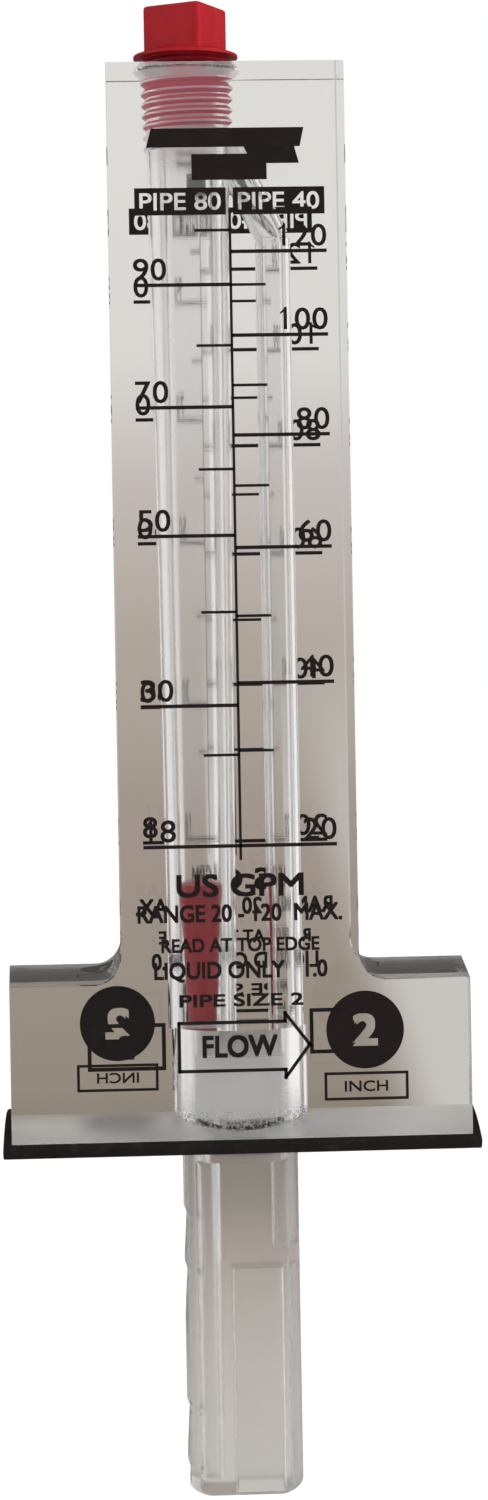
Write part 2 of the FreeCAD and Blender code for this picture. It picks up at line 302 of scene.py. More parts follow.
def rounded_rectangle(left: float, right: float, low: float, high: float, corner: float,
                      count: int = 8) -> np.ndarray:
    """Outline of a rectangle with round corners, anticlockwise from its lower right corner.

    Args:
        left: place of its left side.
        right: place of its right side.
        low: level of its foot.
        high: level of its top.
        corner: radius of the corners.
        count: points to a corner.

    Returns:
        The points of the outline.
    """
    return np.vstack([
        arc(right - corner, low + corner, corner, -90, 0, count),
        arc(right - corner, high - corner, corner, 0, 90, count),
        arc(left + corner, high - corner, corner, 90, 180, count),
        arc(left + corner, low + corner, corner, 180, 270, count),
    ])


def prism(outline: np.ndarray, levels: list[float], axis: int) -> Surface:
    """An outline carried along an axis.

    Args:
        outline: points in the two other axes, in the order of their letters.
        levels: places along the axis.
        axis: 0, 1 or 2.

    Returns:
        The closed surface.
    """
    rings = np.empty((len(levels), len(outline), 3))
    across = [letter for letter in range(3) if letter != axis]
    rings[:, :, across[0]] = outline[:, 0]
    rings[:, :, across[1]] = outline[:, 1]
    rings[:, :, axis] = np.array(levels, float)[:, None]
    return loft(rings)


def carve(piece: bpy.types.Object, *cutters: Surface) -> bpy.types.Object:
    """Takes cutters out of a piece, one after another, and keeps the result as its mesh.

    Args:
        piece: a closed mesh object.
        cutters: closed surfaces.

    Returns:
        The piece.
    """
    tools = [cutter.as_object(f"cutter_{spot}") for spot, cutter in enumerate(cutters)]
    for tool in tools:
        step = piece.modifiers.new(tool.name, "BOOLEAN")
        step.operation = "DIFFERENCE"
        step.solver = "EXACT"
        step.object = tool
    graph = bpy.context.evaluated_depsgraph_get()
    cut = bpy.data.meshes.new_from_object(piece.evaluated_get(graph))
    piece.modifiers.clear()
    old = piece.data
    piece.data = cut
    bpy.data.meshes.remove(old)
    cut.name = piece.name
    for tool in tools:
        discard(tool)
    return piece


def shade(piece: bpy.types.Object, sharp_above: float = 28.0) -> None:
    """Smooth shading with sharp edges above an angle, and flat faces that stay flat.

    Args:
        piece: a mesh object.
        sharp_above: degrees between two faces.
    """
    piece.data.shade_smooth()
    piece.data.set_sharp_from_angle(angle=math.radians(sharp_above))
    weigh = piece.modifiers.new("flat_faces", "WEIGHTED_NORMAL")
    weigh.keep_sharp = True
    weigh.weight = 100


def settle(piece: bpy.types.Object, body: Body,
           stands_for: str | None = None) -> bpy.types.Object:
    """Says what a finished piece rides on and the node it stands for.

    Args:
        piece: the object.
        body: the body that carries it.
        stands_for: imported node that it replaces, or None.

    Returns:
        The piece.
    """
    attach(piece, body.value)
    if stands_for:
        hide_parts(stands_for)
    count = sum(len(face.vertices) - 2 for face in piece.data.polygons)
    LOG.info("%s: %d triangles", piece.name, count)
    return piece


class Signal:
    """A number or vector socket in a node tree, with maths on it written as Python."""

    def __init__(self, nodes: "Nodes", socket: bpy.types.NodeSocket) -> None:
        """Wraps one output socket of the tree that nodes builds."""
        self.nodes = nodes
        self.socket = socket

    def _math(self, operation: str, *values: Any) -> "Signal":
        """One Math node on values in order."""
        inputs = dict(enumerate(values))
        return self.nodes.add("ShaderNodeMath", {"operation": operation}, inputs).signal(0)

    def __add__(self, other: Any) -> "Signal":
        """self + other."""
        return self._math("ADD", self, other)

    def __radd__(self, other: Any) -> "Signal":
        """other + self."""
        return self._math("ADD", other, self)

    def __sub__(self, other: Any) -> "Signal":
        """self - other."""
        return self._math("SUBTRACT", self, other)

    def __rsub__(self, other: Any) -> "Signal":
        """other - self."""
        return self._math("SUBTRACT", other, self)

    def __mul__(self, other: Any) -> "Signal":
        """self * other."""
        return self._math("MULTIPLY", self, other)

    def __rmul__(self, other: Any) -> "Signal":
        """other * self."""
        return self._math("MULTIPLY", other, self)

    def __truediv__(self, other: Any) -> "Signal":
        """self / other."""
        return self._math("DIVIDE", self, other)

    def __rtruediv__(self, other: Any) -> "Signal":
        """other / self."""
        return self._math("DIVIDE", other, self)

    def __abs__(self) -> "Signal":
        """The size of the number without its sign."""
        return self._math("ABSOLUTE", self)

    def root(self) -> "Signal":
        """The square root."""
        return self._math("SQRT", self)

    def at_least(self, other: Any) -> "Signal":
        """The larger of two numbers."""
        return self._math("MAXIMUM", self, other)

    def at_most(self, other: Any) -> "Signal":
        """The smaller of two numbers."""
        return self._math("MINIMUM", self, other)

    def ramp(self, low: float, high: float, start: float = 0.0, end: float = 1.0) -> "Signal":
        """Eases from start to end while the number goes from low to high.

        Args:
            low: number at which the way begins.
            high: number at which it ends. It may be the lower of the two.
            start: result at low and before it.
            end: result at high and beyond it.

        Returns:
            The eased number.
        """
        settings = {"interpolation_type": "SMOOTHSTEP"}
        inputs = {"Value": self, "From Min": low, "From Max": high, "To Min": start, "To Max": end}
        return self.nodes.add("ShaderNodeMapRange", settings, inputs).signal("Result")


class Placed:
    """A node that has been added to a tree, for reading its outputs."""

    def __init__(self, nodes: "Nodes", node: bpy.types.Node) -> None:
        """Keeps the node and the builder of its tree."""
        self.nodes = nodes
        self.node = node

    def signal(self, output: int | str) -> Signal:
        """One output as a signal."""
        return Signal(self.nodes, self.node.outputs[output])


class Nodes:
    """Builds the node tree of one material or of the world."""

    def __init__(self, tree: bpy.types.NodeTree) -> None:
        """Empties the tree."""
        self.tree = tree
        tree.nodes.clear()

    def add(self, kind: str, settings: dict[str, Any] | None = None,
            inputs: dict[int | str, Any] | None = None) -> Placed:
        """Adds any node.

        Args:
            kind: type name of the node.
            settings: properties to set first. "stops" gives a ramp's places and colours.
            inputs: value, signal or placed node for each input, by number or name.

        Returns:
            The placed node.
        """
        node = self.tree.nodes.new(kind)
        for key, value in (settings or {}).items():
            if key == "stops":
                self._set_stops(node.color_ramp, value)
            else:
                setattr(node, key, value)
        for key, value in (inputs or {}).items():
            if isinstance(value, Placed):
                value = value.signal(0)
            if isinstance(value, Signal):
                self.tree.links.new(value.socket, node.inputs[key])
            else:
                node.inputs[key].default_value = value
        return Placed(self, node)

    @staticmethod
    def _set_stops(ramp: bpy.types.ColorRamp, stops: list[tuple[float, tuple]]) -> None:
        """Gives a colour ramp its stops.

        Args:
            ramp: the ramp of a new node.
            stops: pairs of place, from 0 to 1, and colour.
        """
        while len(ramp.elements) > 1:
            ramp.elements.remove(ramp.elements[-1])
        for spot, (place, colour) in enumerate(stops):
            element = ramp.elements[0] if spot == 0 else ramp.elements.new(place)
            element.position = place
            element.color = (*colour, 1.0)

    def place(self, scale: tuple[float, float, float] = (1.0, 1.0, 1.0)) -> Signal:
        """Object coordinates in millimetres, each times a scale.

        Args:
            scale: factor for each axis. A small one stretches a pattern along its axis.

        Returns:
            The coordinates.
        """
        coordinates = self.add("ShaderNodeTexCoord").signal("Object")
        inputs = {"Vector": coordinates, "Scale": tuple(factor / MM for factor in scale)}
        return self.add("ShaderNodeMapping", {"vector_type": "POINT"}, inputs).signal("Vector")

    def parts(self, vector: Signal) -> tuple[Signal, Signal, Signal]:
        """The three numbers of a vector."""
        split = self.add("ShaderNodeSeparateXYZ", None, {"Vector": vector})
        return split.signal("X"), split.signal("Y"), split.signal("Z")

    def noise(self, vector: Signal, scale: float, detail: float = 2.0,
              roughness: float = 0.5) -> Signal:
        """Noise from 0 to 1, about one bump in 1 / scale units of the vector."""
        inputs = {"Vector": vector, "Scale": scale, "Detail": detail, "Roughness": roughness}
        return self.add("ShaderNodeTexNoise", None, inputs).signal(0)

    def sweep(self, value: Signal, low: float, high: float,
              stops: list[tuple[float, tuple]]) -> Signal:
        """A colour for a number that runs from low to high.

        Args:
            value: the number.
            low: its least value.
            high: its greatest value.
            stops: pairs of a value and its colour, in order.

        Returns:
            The colour between the two nearest stops.
        """
        places = [((place - low) / (high - low), colour) for place, colour in stops]
        share = (value - low) / (high - low)
        return self.add("ShaderNodeValToRGB", {"stops": places}, {0: share}).signal("Color")

    def mix(self, share: Any, first: Any, second: Any) -> Signal:
        """A colour between two colours."""
        node = self.add("ShaderNodeMix", {"data_type": "RGBA"}, {0: share, 6: first, 7: second})
        return node.signal(2)

    def bump(self, height: Signal, distance: float) -> Signal:
        """A normal from a height. Distance is in millimetres for a height of one."""
        inputs = {"Height": height, "Distance": distance * MM, "Strength": 1.0}
        return self.add("ShaderNodeBump", None, inputs).signal("Normal")


def new_material(name: str) -> tuple[bpy.types.Material, Nodes]:
    """A new material and the builder of its tree.

    Args:
        name: name of the material.

    Returns:
        Both, with the tree empty.
    """
    made = bpy.data.materials.new(name)
    made.use_nodes = True
    return made, Nodes(made.node_tree)


def grey(level: float) -> tuple[float, float, float, float]:
    """A neutral colour."""
    return (level, level, level, 1.0)


MILK = grey(0.95)


@dataclass(frozen=True)
class Finish:
    """A finish that a piece is dressed in. Each kind adds its own pattern.

    Attributes:
        name: name of the material.
        colour: base colour, linear.
        roughness: base roughness.
        gloss: level of the reflection.
    """

    name: str
    colour: tuple[float, float, float]
    roughness: float
    gloss: float = 0.5

    @property
    def base(self) -> tuple[float, float, float, float]:
        """The base colour with its alpha."""
        return (*self.colour, 1.0)

    def fixed(self) -> dict[str, Any]:
        """Sockets of the shader that are the same all over."""
        return {"Specular IOR Level": self.gloss}

    def pattern(self, nodes: Nodes) -> dict[str, Any]:
        """Sockets that vary over the surface."""
        return {}

    def haze(self, nodes: Nodes) -> Signal | None:
        """Share of the light that the surface scatters, for a clear finish."""
        return None

    def material(self) -> bpy.types.Material:
        """The material, made once for each name.

        A clear finish with haze is mixed with milk, half of which scatters back and half on.

        Returns:
            The material.
        """
        made = bpy.data.materials.get(self.name)
        if made:
            return made
        made, nodes = new_material(self.name)
        inputs = {"Base Color": self.base, "Roughness": self.roughness}
        inputs.update(self.fixed())
        inputs.update(self.pattern(nodes))
        shader = nodes.add("ShaderNodeBsdfPrincipled", None, inputs)
        share = self.haze(nodes)
        if share:
            back = nodes.add("ShaderNodeBsdfDiffuse", None, {"Color": MILK})
            on = nodes.add("ShaderNodeBsdfTranslucent", None, {"Color": MILK})
            milk = nodes.add("ShaderNodeMixShader", None, {0: 0.5, 1: back, 2: on})
            shader = nodes.add("ShaderNodeMixShader", None, {0: share, 1: shader, 2: milk})
        nodes.add("ShaderNodeOutputMaterial", None, {"Surface": shader})
        made.diffuse_color = self.base
        return made

    def dress(self, piece: bpy.types.Object) -> bpy.types.Object:
        """Gives the piece this finish alone.

        Args:
            piece: a mesh object.

        Returns:
            The piece.
        """
        piece.data.materials.clear()
        piece.data.materials.append(self.material())
        return piece


@dataclass(frozen=True)
class ClearFinish(Finish):
    """A finish that light goes through.

    Attributes:
        index: index of refraction.
    """

    index: float = 1.49

    def fixed(self) -> dict[str, Any]:
        """Clear all through."""
        return {"Transmission Weight": 1.0, "IOR": self.index}


@dataclass(frozen=True)
class ClearAcrylic(ClearFinish):
    """Clear slab with polished faces, drilled walls and a milled arch.

    Attributes:
        bored: roughness of the drilled walls.
        milled: roughness of the arch.
        sawn: roughness of the foot's ends.
        planed: roughness of the upright's sides.
        milk: share that the drilled walls scatter.
        seat_milk: the same low in the bore.
        thread_milk: the same in the port.
        arch_milk: the same on the arch.
        bubble_milk: the same in the bubbles under the socket.
        seat: levels between which the bore turns milkier.
        port: levels between which the port begins.
        face: distance of the printed faces from the middle.
        side: distance of the upright's sides from the middle.
        side_skin: distance from which a point is on those sides.
        side_foot: level over which the sides are planed.
        top: level of the top face.
        pipe: radius under which the arch lies, from the pipe's axis.
        pipe_z: level of the pipe's axis.
        end: distance at which the foot's ends begin.
        ring: inner and outer radius of the ring of bubbles.
        ring_top: level under which the bubbles are.
    """

    bored: float = 0.1
    milled: float = 0.38
    sawn: float = 0.12
    planed: float = 0.1
    milk: float = 0.15
    seat_milk: float = 0.015
    thread_milk: float = 0.52
    arch_milk: float = 0.14
    bubble_milk: float = 0.7
    seat: tuple[float, float] = (36.0, 60.0)
    port: tuple[float, float] = (141.0, 144.0)
    face: float = 12.3
    side: float = 16.8
    side_skin: float = 17.2
    side_foot: float = 24.0
    top: float = 156.6
    pipe: float = 31.85
    pipe_z: float = -30.16
    end: float = 33.4
    ring: tuple[float, float] = (9.4, 10.6)
    ring_top: float = 2.9

    def drilled(self, nodes: Nodes) -> Signal:
        """The drilled walls: away from the faces, the sides and the top.

        Args:
            nodes: builder of the material's tree.

        Returns:
            1 on the walls and 0 elsewhere.
        """
        x, y, z = nodes.parts(nodes.place())
        within = abs(y).ramp(self.face, self.face - 0.4) * abs(x).ramp(self.side, self.side - 0.4)
        return within * z.ramp(self.top, self.top - 0.2)

    def arch(self, nodes: Nodes) -> Signal:
        """The arch: within a radius of the pipe's axis.

        Args:
            nodes: builder of the material's tree.

        Returns:
            1 on the arch and 0 elsewhere.
        """
        _, y, z = nodes.parts(nodes.place())
        up = z - self.pipe_z
        return (y * y + up * up).root().ramp(self.pipe + 0.1, self.pipe)

    def pattern(self, nodes: Nodes) -> dict[str, Any]:
        """Drilled walls have fine rings. Sides and ends are less polished.

        Args:
            nodes: builder of the material's tree.

        Returns:
            A tint, a roughness and a normal that vary.
        """
        x, _, z = nodes.parts(nodes.place())
        within, arch = self.drilled(nodes), self.arch(nodes)
        ends = abs(x).ramp(self.end, self.end + 0.1)
        sides = abs(x).ramp(self.side_skin, self.side_skin + 0.2)
        sides = sides * z.ramp(self.side_foot, self.side_foot + 2.0)
        rings = nodes.noise(nodes.place((0.01, 0.01, 1.0)), 7.0, 2.0)
        smear = nodes.noise(nodes.place(), 0.09, 2.0)
        height = within * rings * 1.6 + arch * nodes.noise(nodes.place(), 2.0)
        rough = 0.004 + smear * 0.006 + within * (self.bored * (0.8 + 0.4 * rings))
        rough = rough.at_least(arch * self.milled).at_least(ends * self.sawn)
        rough = rough.at_least(sides * self.planed)
        tint = nodes.mix(smear, self.base, grey(1.0))
        return {"Base Color": tint, "Roughness": rough, "Normal": nodes.bump(height, 0.012)}

    def haze(self, nodes: Nodes) -> Signal:
        """Milky drilled walls and arch, with small bubbles round the foot of the socket.

        Args:
            nodes: builder of the material's tree.

        Returns:
            The share that is scattered.
        """
        x, y, z = nodes.parts(nodes.place())
        low = z.ramp(*self.seat, self.seat_milk, self.milk)
        walls = self.drilled(nodes) * low.at_least(z.ramp(*self.port) * self.thread_milk)
        out = (x * x + y * y).root()
        inner, outer = self.ring
        ring = out.ramp(inner, inner + 0.3) * out.ramp(outer, outer - 0.3)
        ring = ring * z.ramp(self.ring_top, self.ring_top - 0.7)
        bubbles = nodes.noise(nodes.place(), 1.8, 3.0, 0.6).ramp(0.45, 0.6) * self.bubble_milk
        return walls.at_least(self.arch(nodes) * self.arch_milk).at_least(ring * bubbles)


@dataclass(frozen=True)
class ClearMoulding(ClearFinish):
    """Clear moulded plastic with slow waves and a faint grain.

    Attributes:
        milk: share that is scattered below the saddle.
        spigot_milk: the same on the cemented spigot.
        pilot_milk: the same on the spigot's narrow end.
        spigot_foot: level over which the spigot begins.
        ledge: level under which the narrow end begins.
    """

    milk: float = 0.09
    spigot_milk: float = 0.85
    pilot_milk: float = 0.3
    spigot_foot: float = 0.6
    ledge: float = 10.4

    def haze(self, nodes: Nodes) -> Signal:
        """Milky all over, more so on the spigot.

        Args:
            nodes: builder of the material's tree.

        Returns:
            The share that is scattered.
        """
        _, _, z = nodes.parts(nodes.place())
        foot, ledge = self.spigot_foot, self.ledge
        spigot = z.ramp(foot, foot + 1.2, self.milk, self.spigot_milk)
        return spigot.at_most(z.ramp(ledge + 0.6, ledge, self.pilot_milk, 1.0))

    def pattern(self, nodes: Nodes) -> dict[str, Any]:
        """Slow waves from the mould and a fine grain.

        Args:
            nodes: builder of the material's tree.

        Returns:
            A normal and a roughness that vary.
        """
        wave = nodes.noise(nodes.place((1.0, 1.0, 0.4)), 0.35, 2.0)
        grain = nodes.noise(nodes.place(), 3.0, 2.0)
        normal = nodes.bump(wave + grain * 0.03, 0.02)
        return {"Normal": normal, "Roughness": self.roughness * (0.7 + 0.6 * grain)}


@dataclass(frozen=True)
class BlackRubber(Finish):
    """Cut rubber sheet with a faint bloom.

    Attributes:
        bloom: colour of the bloom, linear.
    """

    gloss: float = 0.2
    bloom: tuple[float, float, float] = (0.03, 0.024, 0.022)

    def pattern(self, nodes: Nodes) -> dict[str, Any]:
        """Dusty bloom in patches over a fine pebble.

        Args:
            nodes: builder of the material's tree.

        Returns:
            A tint, a roughness and a normal that vary.
        """
        patches = nodes.noise(nodes.place(), 0.35, 4.0, 0.6).ramp(0.5, 0.9)
        pebble = nodes.noise(nodes.place(), 6.0, 3.0)
        tint = nodes.mix(patches, self.base, (*self.bloom, 1.0))
        return {
            "Base Color": tint,
            "Roughness": self.roughness + 0.18 * pebble,
            "Normal": nodes.bump(pebble, 0.02),
        }


@dataclass(frozen=True)
class TurnedPlastic(Finish):
    """Turned rod: fine rings from the tool.

    Attributes:
        pitch: width of a ring.
    """

    pitch: float = 0.12

    def pattern(self, nodes: Nodes) -> dict[str, Any]:
        """Rings: noise that is stretched flat, fine up the axis.

        Args:
            nodes: builder of the material's tree.

        Returns:
            A tint, a roughness and a normal that vary.
        """
        rings = nodes.noise(nodes.place((0.02, 0.02, 1.0)), 1.0 / self.pitch, 2.0)
        cloud = nodes.noise(nodes.place(), 0.3, 3.0)
        deep = tuple(0.7 * level for level in self.colour)
        return {
            "Base Color": nodes.mix(rings * 0.5 + cloud * 0.5, self.base, (*deep, 1.0)),
            "Roughness": self.roughness + 0.15 * rings,
            "Normal": nodes.bump(rings, 0.008),
        }


@dataclass(frozen=True)
class MouldedPlastic(Finish):
    """Moulded part: slow hollows, a fine grain and paler streaks. Its neck carries painted shade
    from the flange, and its thread is paler.

    Attributes:
        neck_top: level under which the neck begins.
        neck_colour: dark red painted on the neck as the flange's shade, linear.
        thread_top: level under which the thread begins.
        thread_colour: colour of the thread, linear.
    """

    gloss: float = 0.3
    neck_top: float = 159.2
    neck_colour: tuple[float, float, float] = (0.15, 0.003, 0.008)
    thread_top: float = 156.9
    thread_colour: tuple[float, float, float] = (0.52, 0.13, 0.165)

    def pattern(self, nodes: Nodes) -> dict[str, Any]:
        """Streaks of colour, painted shade on the neck under the flange, grain in the gloss and
        slow hollows.

        Args:
            nodes: builder of the material's tree.

        Returns:
            A tint, a roughness and a normal that vary.
        """
        streak = nodes.noise(nodes.place((1.0, 1.0, 0.6)), 0.3, 4.0, 0.55)
        grain = nodes.noise(nodes.place(), 4.0, 3.0)
        hollow = nodes.noise(nodes.place(), 0.22, 1.0)
        pale = tuple(min(1.0, 1.15 * level + 0.003) for level in self.colour)
        tint = nodes.mix(streak.ramp(0.35, 0.75), self.base, (*pale, 1.0))
        _, _, z = nodes.parts(nodes.place())
        # Painted shade: the neck under the flange is darkened as if the flange shadows it.
        under = z.ramp(self.neck_top, self.neck_top - 0.4)
        tint = nodes.mix(under, tint, (*self.neck_colour, 1.0))
        inside = z.ramp(self.thread_top, self.thread_top - 0.6)
        tint = nodes.mix(inside, tint, (*self.thread_colour, 1.0))
        return {
            "Base Color": tint,
            "Roughness": self.roughness + 0.2 * grain,
            "Normal": nodes.bump(hollow + grain * 0.04, 0.25),
        }


@dataclass(frozen=True)
class ScreenInk(Finish):
    """Dense screen ink with a slightly uneven coat."""

    gloss: float = 0.15

    def pattern(self, nodes: Nodes) -> dict[str, Any]:
        """A fine weave in the coat and slow changes of density.

        Args:
            nodes: builder of the material's tree.

        Returns:
            A tint and a roughness that vary.
        """
        coat = nodes.noise(nodes.place(), 5.0, 3.0)
        slow = nodes.noise(nodes.place(), 0.5, 2.0)
        pale = tuple(level * 2.2 for level in self.colour)
        return {
            "Base Color": nodes.mix(slow * 0.5 + coat * 0.3, self.base, (*pale, 1.0)),
            "Roughness": self.roughness + 0.2 * coat,
        }


ACRYLIC = ClearAcrylic("polished_acrylic", (0.985, 0.985, 0.98), 0.01)
MOULDING = ClearMoulding("clear_probe_moulding", (0.965, 0.955, 0.94), 0.22)
RUBBER = BlackRubber("saddle_rubber", (0.010, 0.007, 0.006), 0.6)
FLOAT_RED = TurnedPlastic("turned_red_rod", (0.39, 0.004, 0.010), 0.35)
PLUG_RED = MouldedPlastic("moulded_red_plug", (0.33, 0.004, 0.010), 0.3)
INK = ScreenInk("black_screen_ink", (0.009, 0.006, 0.006), 0.5)


@dataclass
class TaperThread:
    """A right-hand taper thread as a radius over angle and height.

    Attributes:
        x: axis of the thread.
        mouth_z: level at which mouth_radius is measured.
        mouth_radius: outer radius of the thread's cone there.
        taper: fall of the radius for each millimetre down.
        pitch: rise of one turn, as the turns show in the block.
        start: level of a crest on the side that looks downstream.
        depth: height of the thread.
        land: share of half a turn that is flat at the crest, and at the root.
        steps: rings to a turn.
    """

    x: float
    mouth_z: float
    mouth_radius: float
    taper: float = 1.0 / 32.0
    pitch: float = 1.63
    start: float = 0.79
    depth: float = 0.75
    land: float = 0.125
    steps: int = 22

    def levels(self, low: float, high: float) -> np.ndarray:
        """Heights of rings, with a fixed number of steps to a turn."""
        return np.linspace(low, high, int(math.ceil((high - low) / self.pitch * self.steps)) + 1)

    def cone(self, heights: np.ndarray) -> np.ndarray:
        """Outer radius of the thread at each height."""
        return self.mouth_radius - (self.mouth_z - heights) * self.taper

    def radius(self, angles: np.ndarray, heights: np.ndarray, inset: float) -> np.ndarray:
        """Radius of the flank: cone(z) - inset - depth * v(phase).

        The phase is (z - start) / pitch - angle / 360 degrees + 1/2. v is a triangle wave
        from 0 at the outer edge to 1 at the root, cut off to a narrow land at both.

        Args:
            angles: columns, in radians.
            heights: rows.
            inset: radial clearance.

        Returns:
            Rows by columns of radii.
        """
        tall = heights[:, None]
        phase = (tall - self.start) / self.pitch - angles[None, :] / (2.0 * math.pi) + 0.5
        wave = np.abs(2.0 * (phase - np.floor(phase)) - 1.0)
        wave = np.clip((wave - self.land) / (1.0 - 2.0 * self.land), 0.0, 1.0)
        return self.cone(tall) - inset - self.depth * wave


@dataclass
class ClearBlock:
    """The clear slab: upright and foot in one, with its passages and its threaded port.

    Attributes:
        node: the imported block.
        shoulder_z: level of the foot's top face.
        foot_half: half the foot's length on the front face.
        corner: radius of the outer corners, seen from the front.
        chamfer: bevel round both printed faces.
        gasket_radius: radius of the arch.
        bore_x: axis of the bore and the port.
        bore_low_z: level at which both bores begin.
        port_radius: outer radius of the thread at the foot of the port's chamfer.
        step: least ledge between the bore and the port.
        return_x: axis of the narrow bore.
        return_top: level where its cone begins.
        drill_point: slope of that cone, in degrees.
        crossover_tilt: lean of the crossover from upright, in degrees.
        columns: points round the bore and its thread.
    """

    node: str = "meter_body"
    upright_width: float = 34.925
    shoulder_z: float = 22.0
    shoulder_fillet: float = 4.0
    foot_half: float = 33.75
    corner: float = 0.12
    chamfer: float = 0.12
    gasket_radius: float = 31.76
    pipe_radius: float = 30.16
    bore_x: float = -5.4
    bore_low_z: float = 14.3
    bore_low_radius: float = 5.1
    bore_high_radius: float = 6.15
    port_depth: float = 12.3
    port_radius: float = 6.95
    port_chamfer: float = 1.2
    step: float = 0.02
    return_x: float = 7.0
    return_radius: float = 2.65
    return_top: float = 131.6
    drill_point: float = 31.0
    crossover_radius: float = 2.5
    crossover_tilt: float = 26.5
    crossover_length: float = 16.4
    socket_radius: float = 10.06
    socket_top: float = 14.56
    columns: int = 144

    def __post_init__(self) -> None:
        """Reads the slab's overall size from the frame."""
        self.low, self.high = node_box(self.node)
        self.half = self.high[1]
        self.top = self.high[2]
        self.thread = TaperThread(self.bore_x, self.top - self.port_chamfer, self.port_radius)

    def outline(self, inset: float) -> np.ndarray:
        """Front outline, an inverted T with arcs in its corners, moved inward by inset.

        Args:
            inset: distance inward.

        Returns:
            Points across and up, anticlockwise from the foot's lower right corner.
        """
        foot = self.foot_half - inset
        upright = self.upright_width / 2.0 - inset
        shoulder = self.shoulder_z - inset
        low = self.low[2] - self.half / 2.0
        top = self.top - inset
        fillet = self.shoulder_fillet + inset
        tight = self.corner
        right = [
            np.array([[foot, low]]),
            arc(foot - tight, shoulder - tight, tight, 0, 90, 4),
            arc(upright + fillet, shoulder + fillet, fillet, 270, 180, 20),
            arc(upright - tight, top - tight, tight, 0, 90, 4),
        ]
        left = [
            arc(tight - upright, top - tight, tight, 90, 180, 4),
            arc(-upright - fillet, shoulder + fillet, fillet, 0, -90, 20),
            arc(tight - foot, shoulder - tight, tight, 90, 180, 4),
            np.array([[-foot, low]]),
        ]
        return np.vstack(right + left)

    def slab(self) -> Surface:
        """The outline carried through the thickness, with a small chamfer at both faces.

        The foot's ends move outward in proportion to the way from the front to the back,
        because they are sawn at a slant.

        Returns:
            The closed surface.
        """
        levels = [-self.half, self.chamfer - self.half, self.half - self.chamfer, self.half]
        insets = [self.chamfer, 0.0, 0.0, self.chamfer]
        rings = []
        for level, inset in zip(levels, insets):
            flat = self.outline(inset)
            share = (level + self.half) / (2.0 * self.half)
            across = flat[:, 0]
            at_end = self.foot_half - np.abs(across) < 1.0
            reach = np.where(across > 0, self.high[0], -self.low[0]) - self.foot_half
            flat[:, 0] = across + np.where(at_end, np.sign(across) * reach * share, 0.0)
            rings.append(np.stack([flat[:, 0], np.full(len(flat), level), flat[:, 1]], axis=-1))
        return loft(np.array(rings))

    def arch(self) -> Surface:
        """The round saddle, a cylinder along the pipe."""
        reach = 2.0 * self.high[0]
        return prism(circle(0.0, -self.pipe_radius, self.gasket_radius, 400), [-reach, reach], 0)

    def bore_and_port(self) -> Surface:
        """The tapered bore with the threaded port over it and the port's chamfer.

        Returns:
            The cutter, open above the slab.
        """
        angles = even_angles(self.columns)
        floor = self.top - self.port_depth
        heights = self.thread.levels(floor, self.top + self.port_chamfer)
        port = self.thread.radius(angles, heights, 0.0)
        mouth = self.port_radius + (heights - (self.top - self.port_chamfer))
        port = np.maximum(port, np.maximum(mouth, self.bore_high_radius + self.step)[:, None])
        bore_heights = np.array([self.bore_low_z, floor])
        bore = np.repeat(
            np.array([[self.bore_low_radius], [self.bore_high_radius]]), len(angles), axis=1
        )
        return turned(
            np.vstack([bore, port]), np.concatenate([bore_heights, heights]), angles, self.bore_x
        )

    def return_bore(self) -> Surface:
        """The narrow bore, with the cone that the drill leaves.

        Returns:
            The cutter.
        """
        tip = 0.05
        rise = (self.return_radius - tip) * math.tan(math.radians(self.drill_point))
        return lathe([
            (self.return_radius, self.bore_low_z), (self.return_radius, self.return_top),
            (tip, self.return_top + rise),
        ], self.return_x, count=96)

    def crossover(self) -> Surface:
        """The slanted passage from the return bore up into the port.

        Returns:
            The cutter.
        """
        ends = (0.0, self.crossover_length)
        rod = lathe([(self.crossover_radius, level) for level in ends], count=96)
        tilt = Matrix.Rotation(math.radians(-self.crossover_tilt), 3, "Y")
        return rod.turned_by(tilt).moved(self.return_x, 0.0, self.return_top)

    def socket(self) -> Surface:
        """The round socket for the probe, open below."""
        deep = self.low[2] - self.half
        return lathe([(self.socket_radius, deep), (self.socket_radius, self.socket_top)])

    def build(self) -> bpy.types.Object:
        """Cuts all passages out of the slab and finishes the block.

        Returns:
            The block, in place of its node.
        """
        piece = self.slab().as_object("clear_block")
        carve(piece, self.arch(), self.socket(), self.bore_and_port(), self.return_bore(),
              self.crossover())
        shade(piece)
        ACRYLIC.dress(piece)
        return settle(piece, Body.HOUSING, self.node)


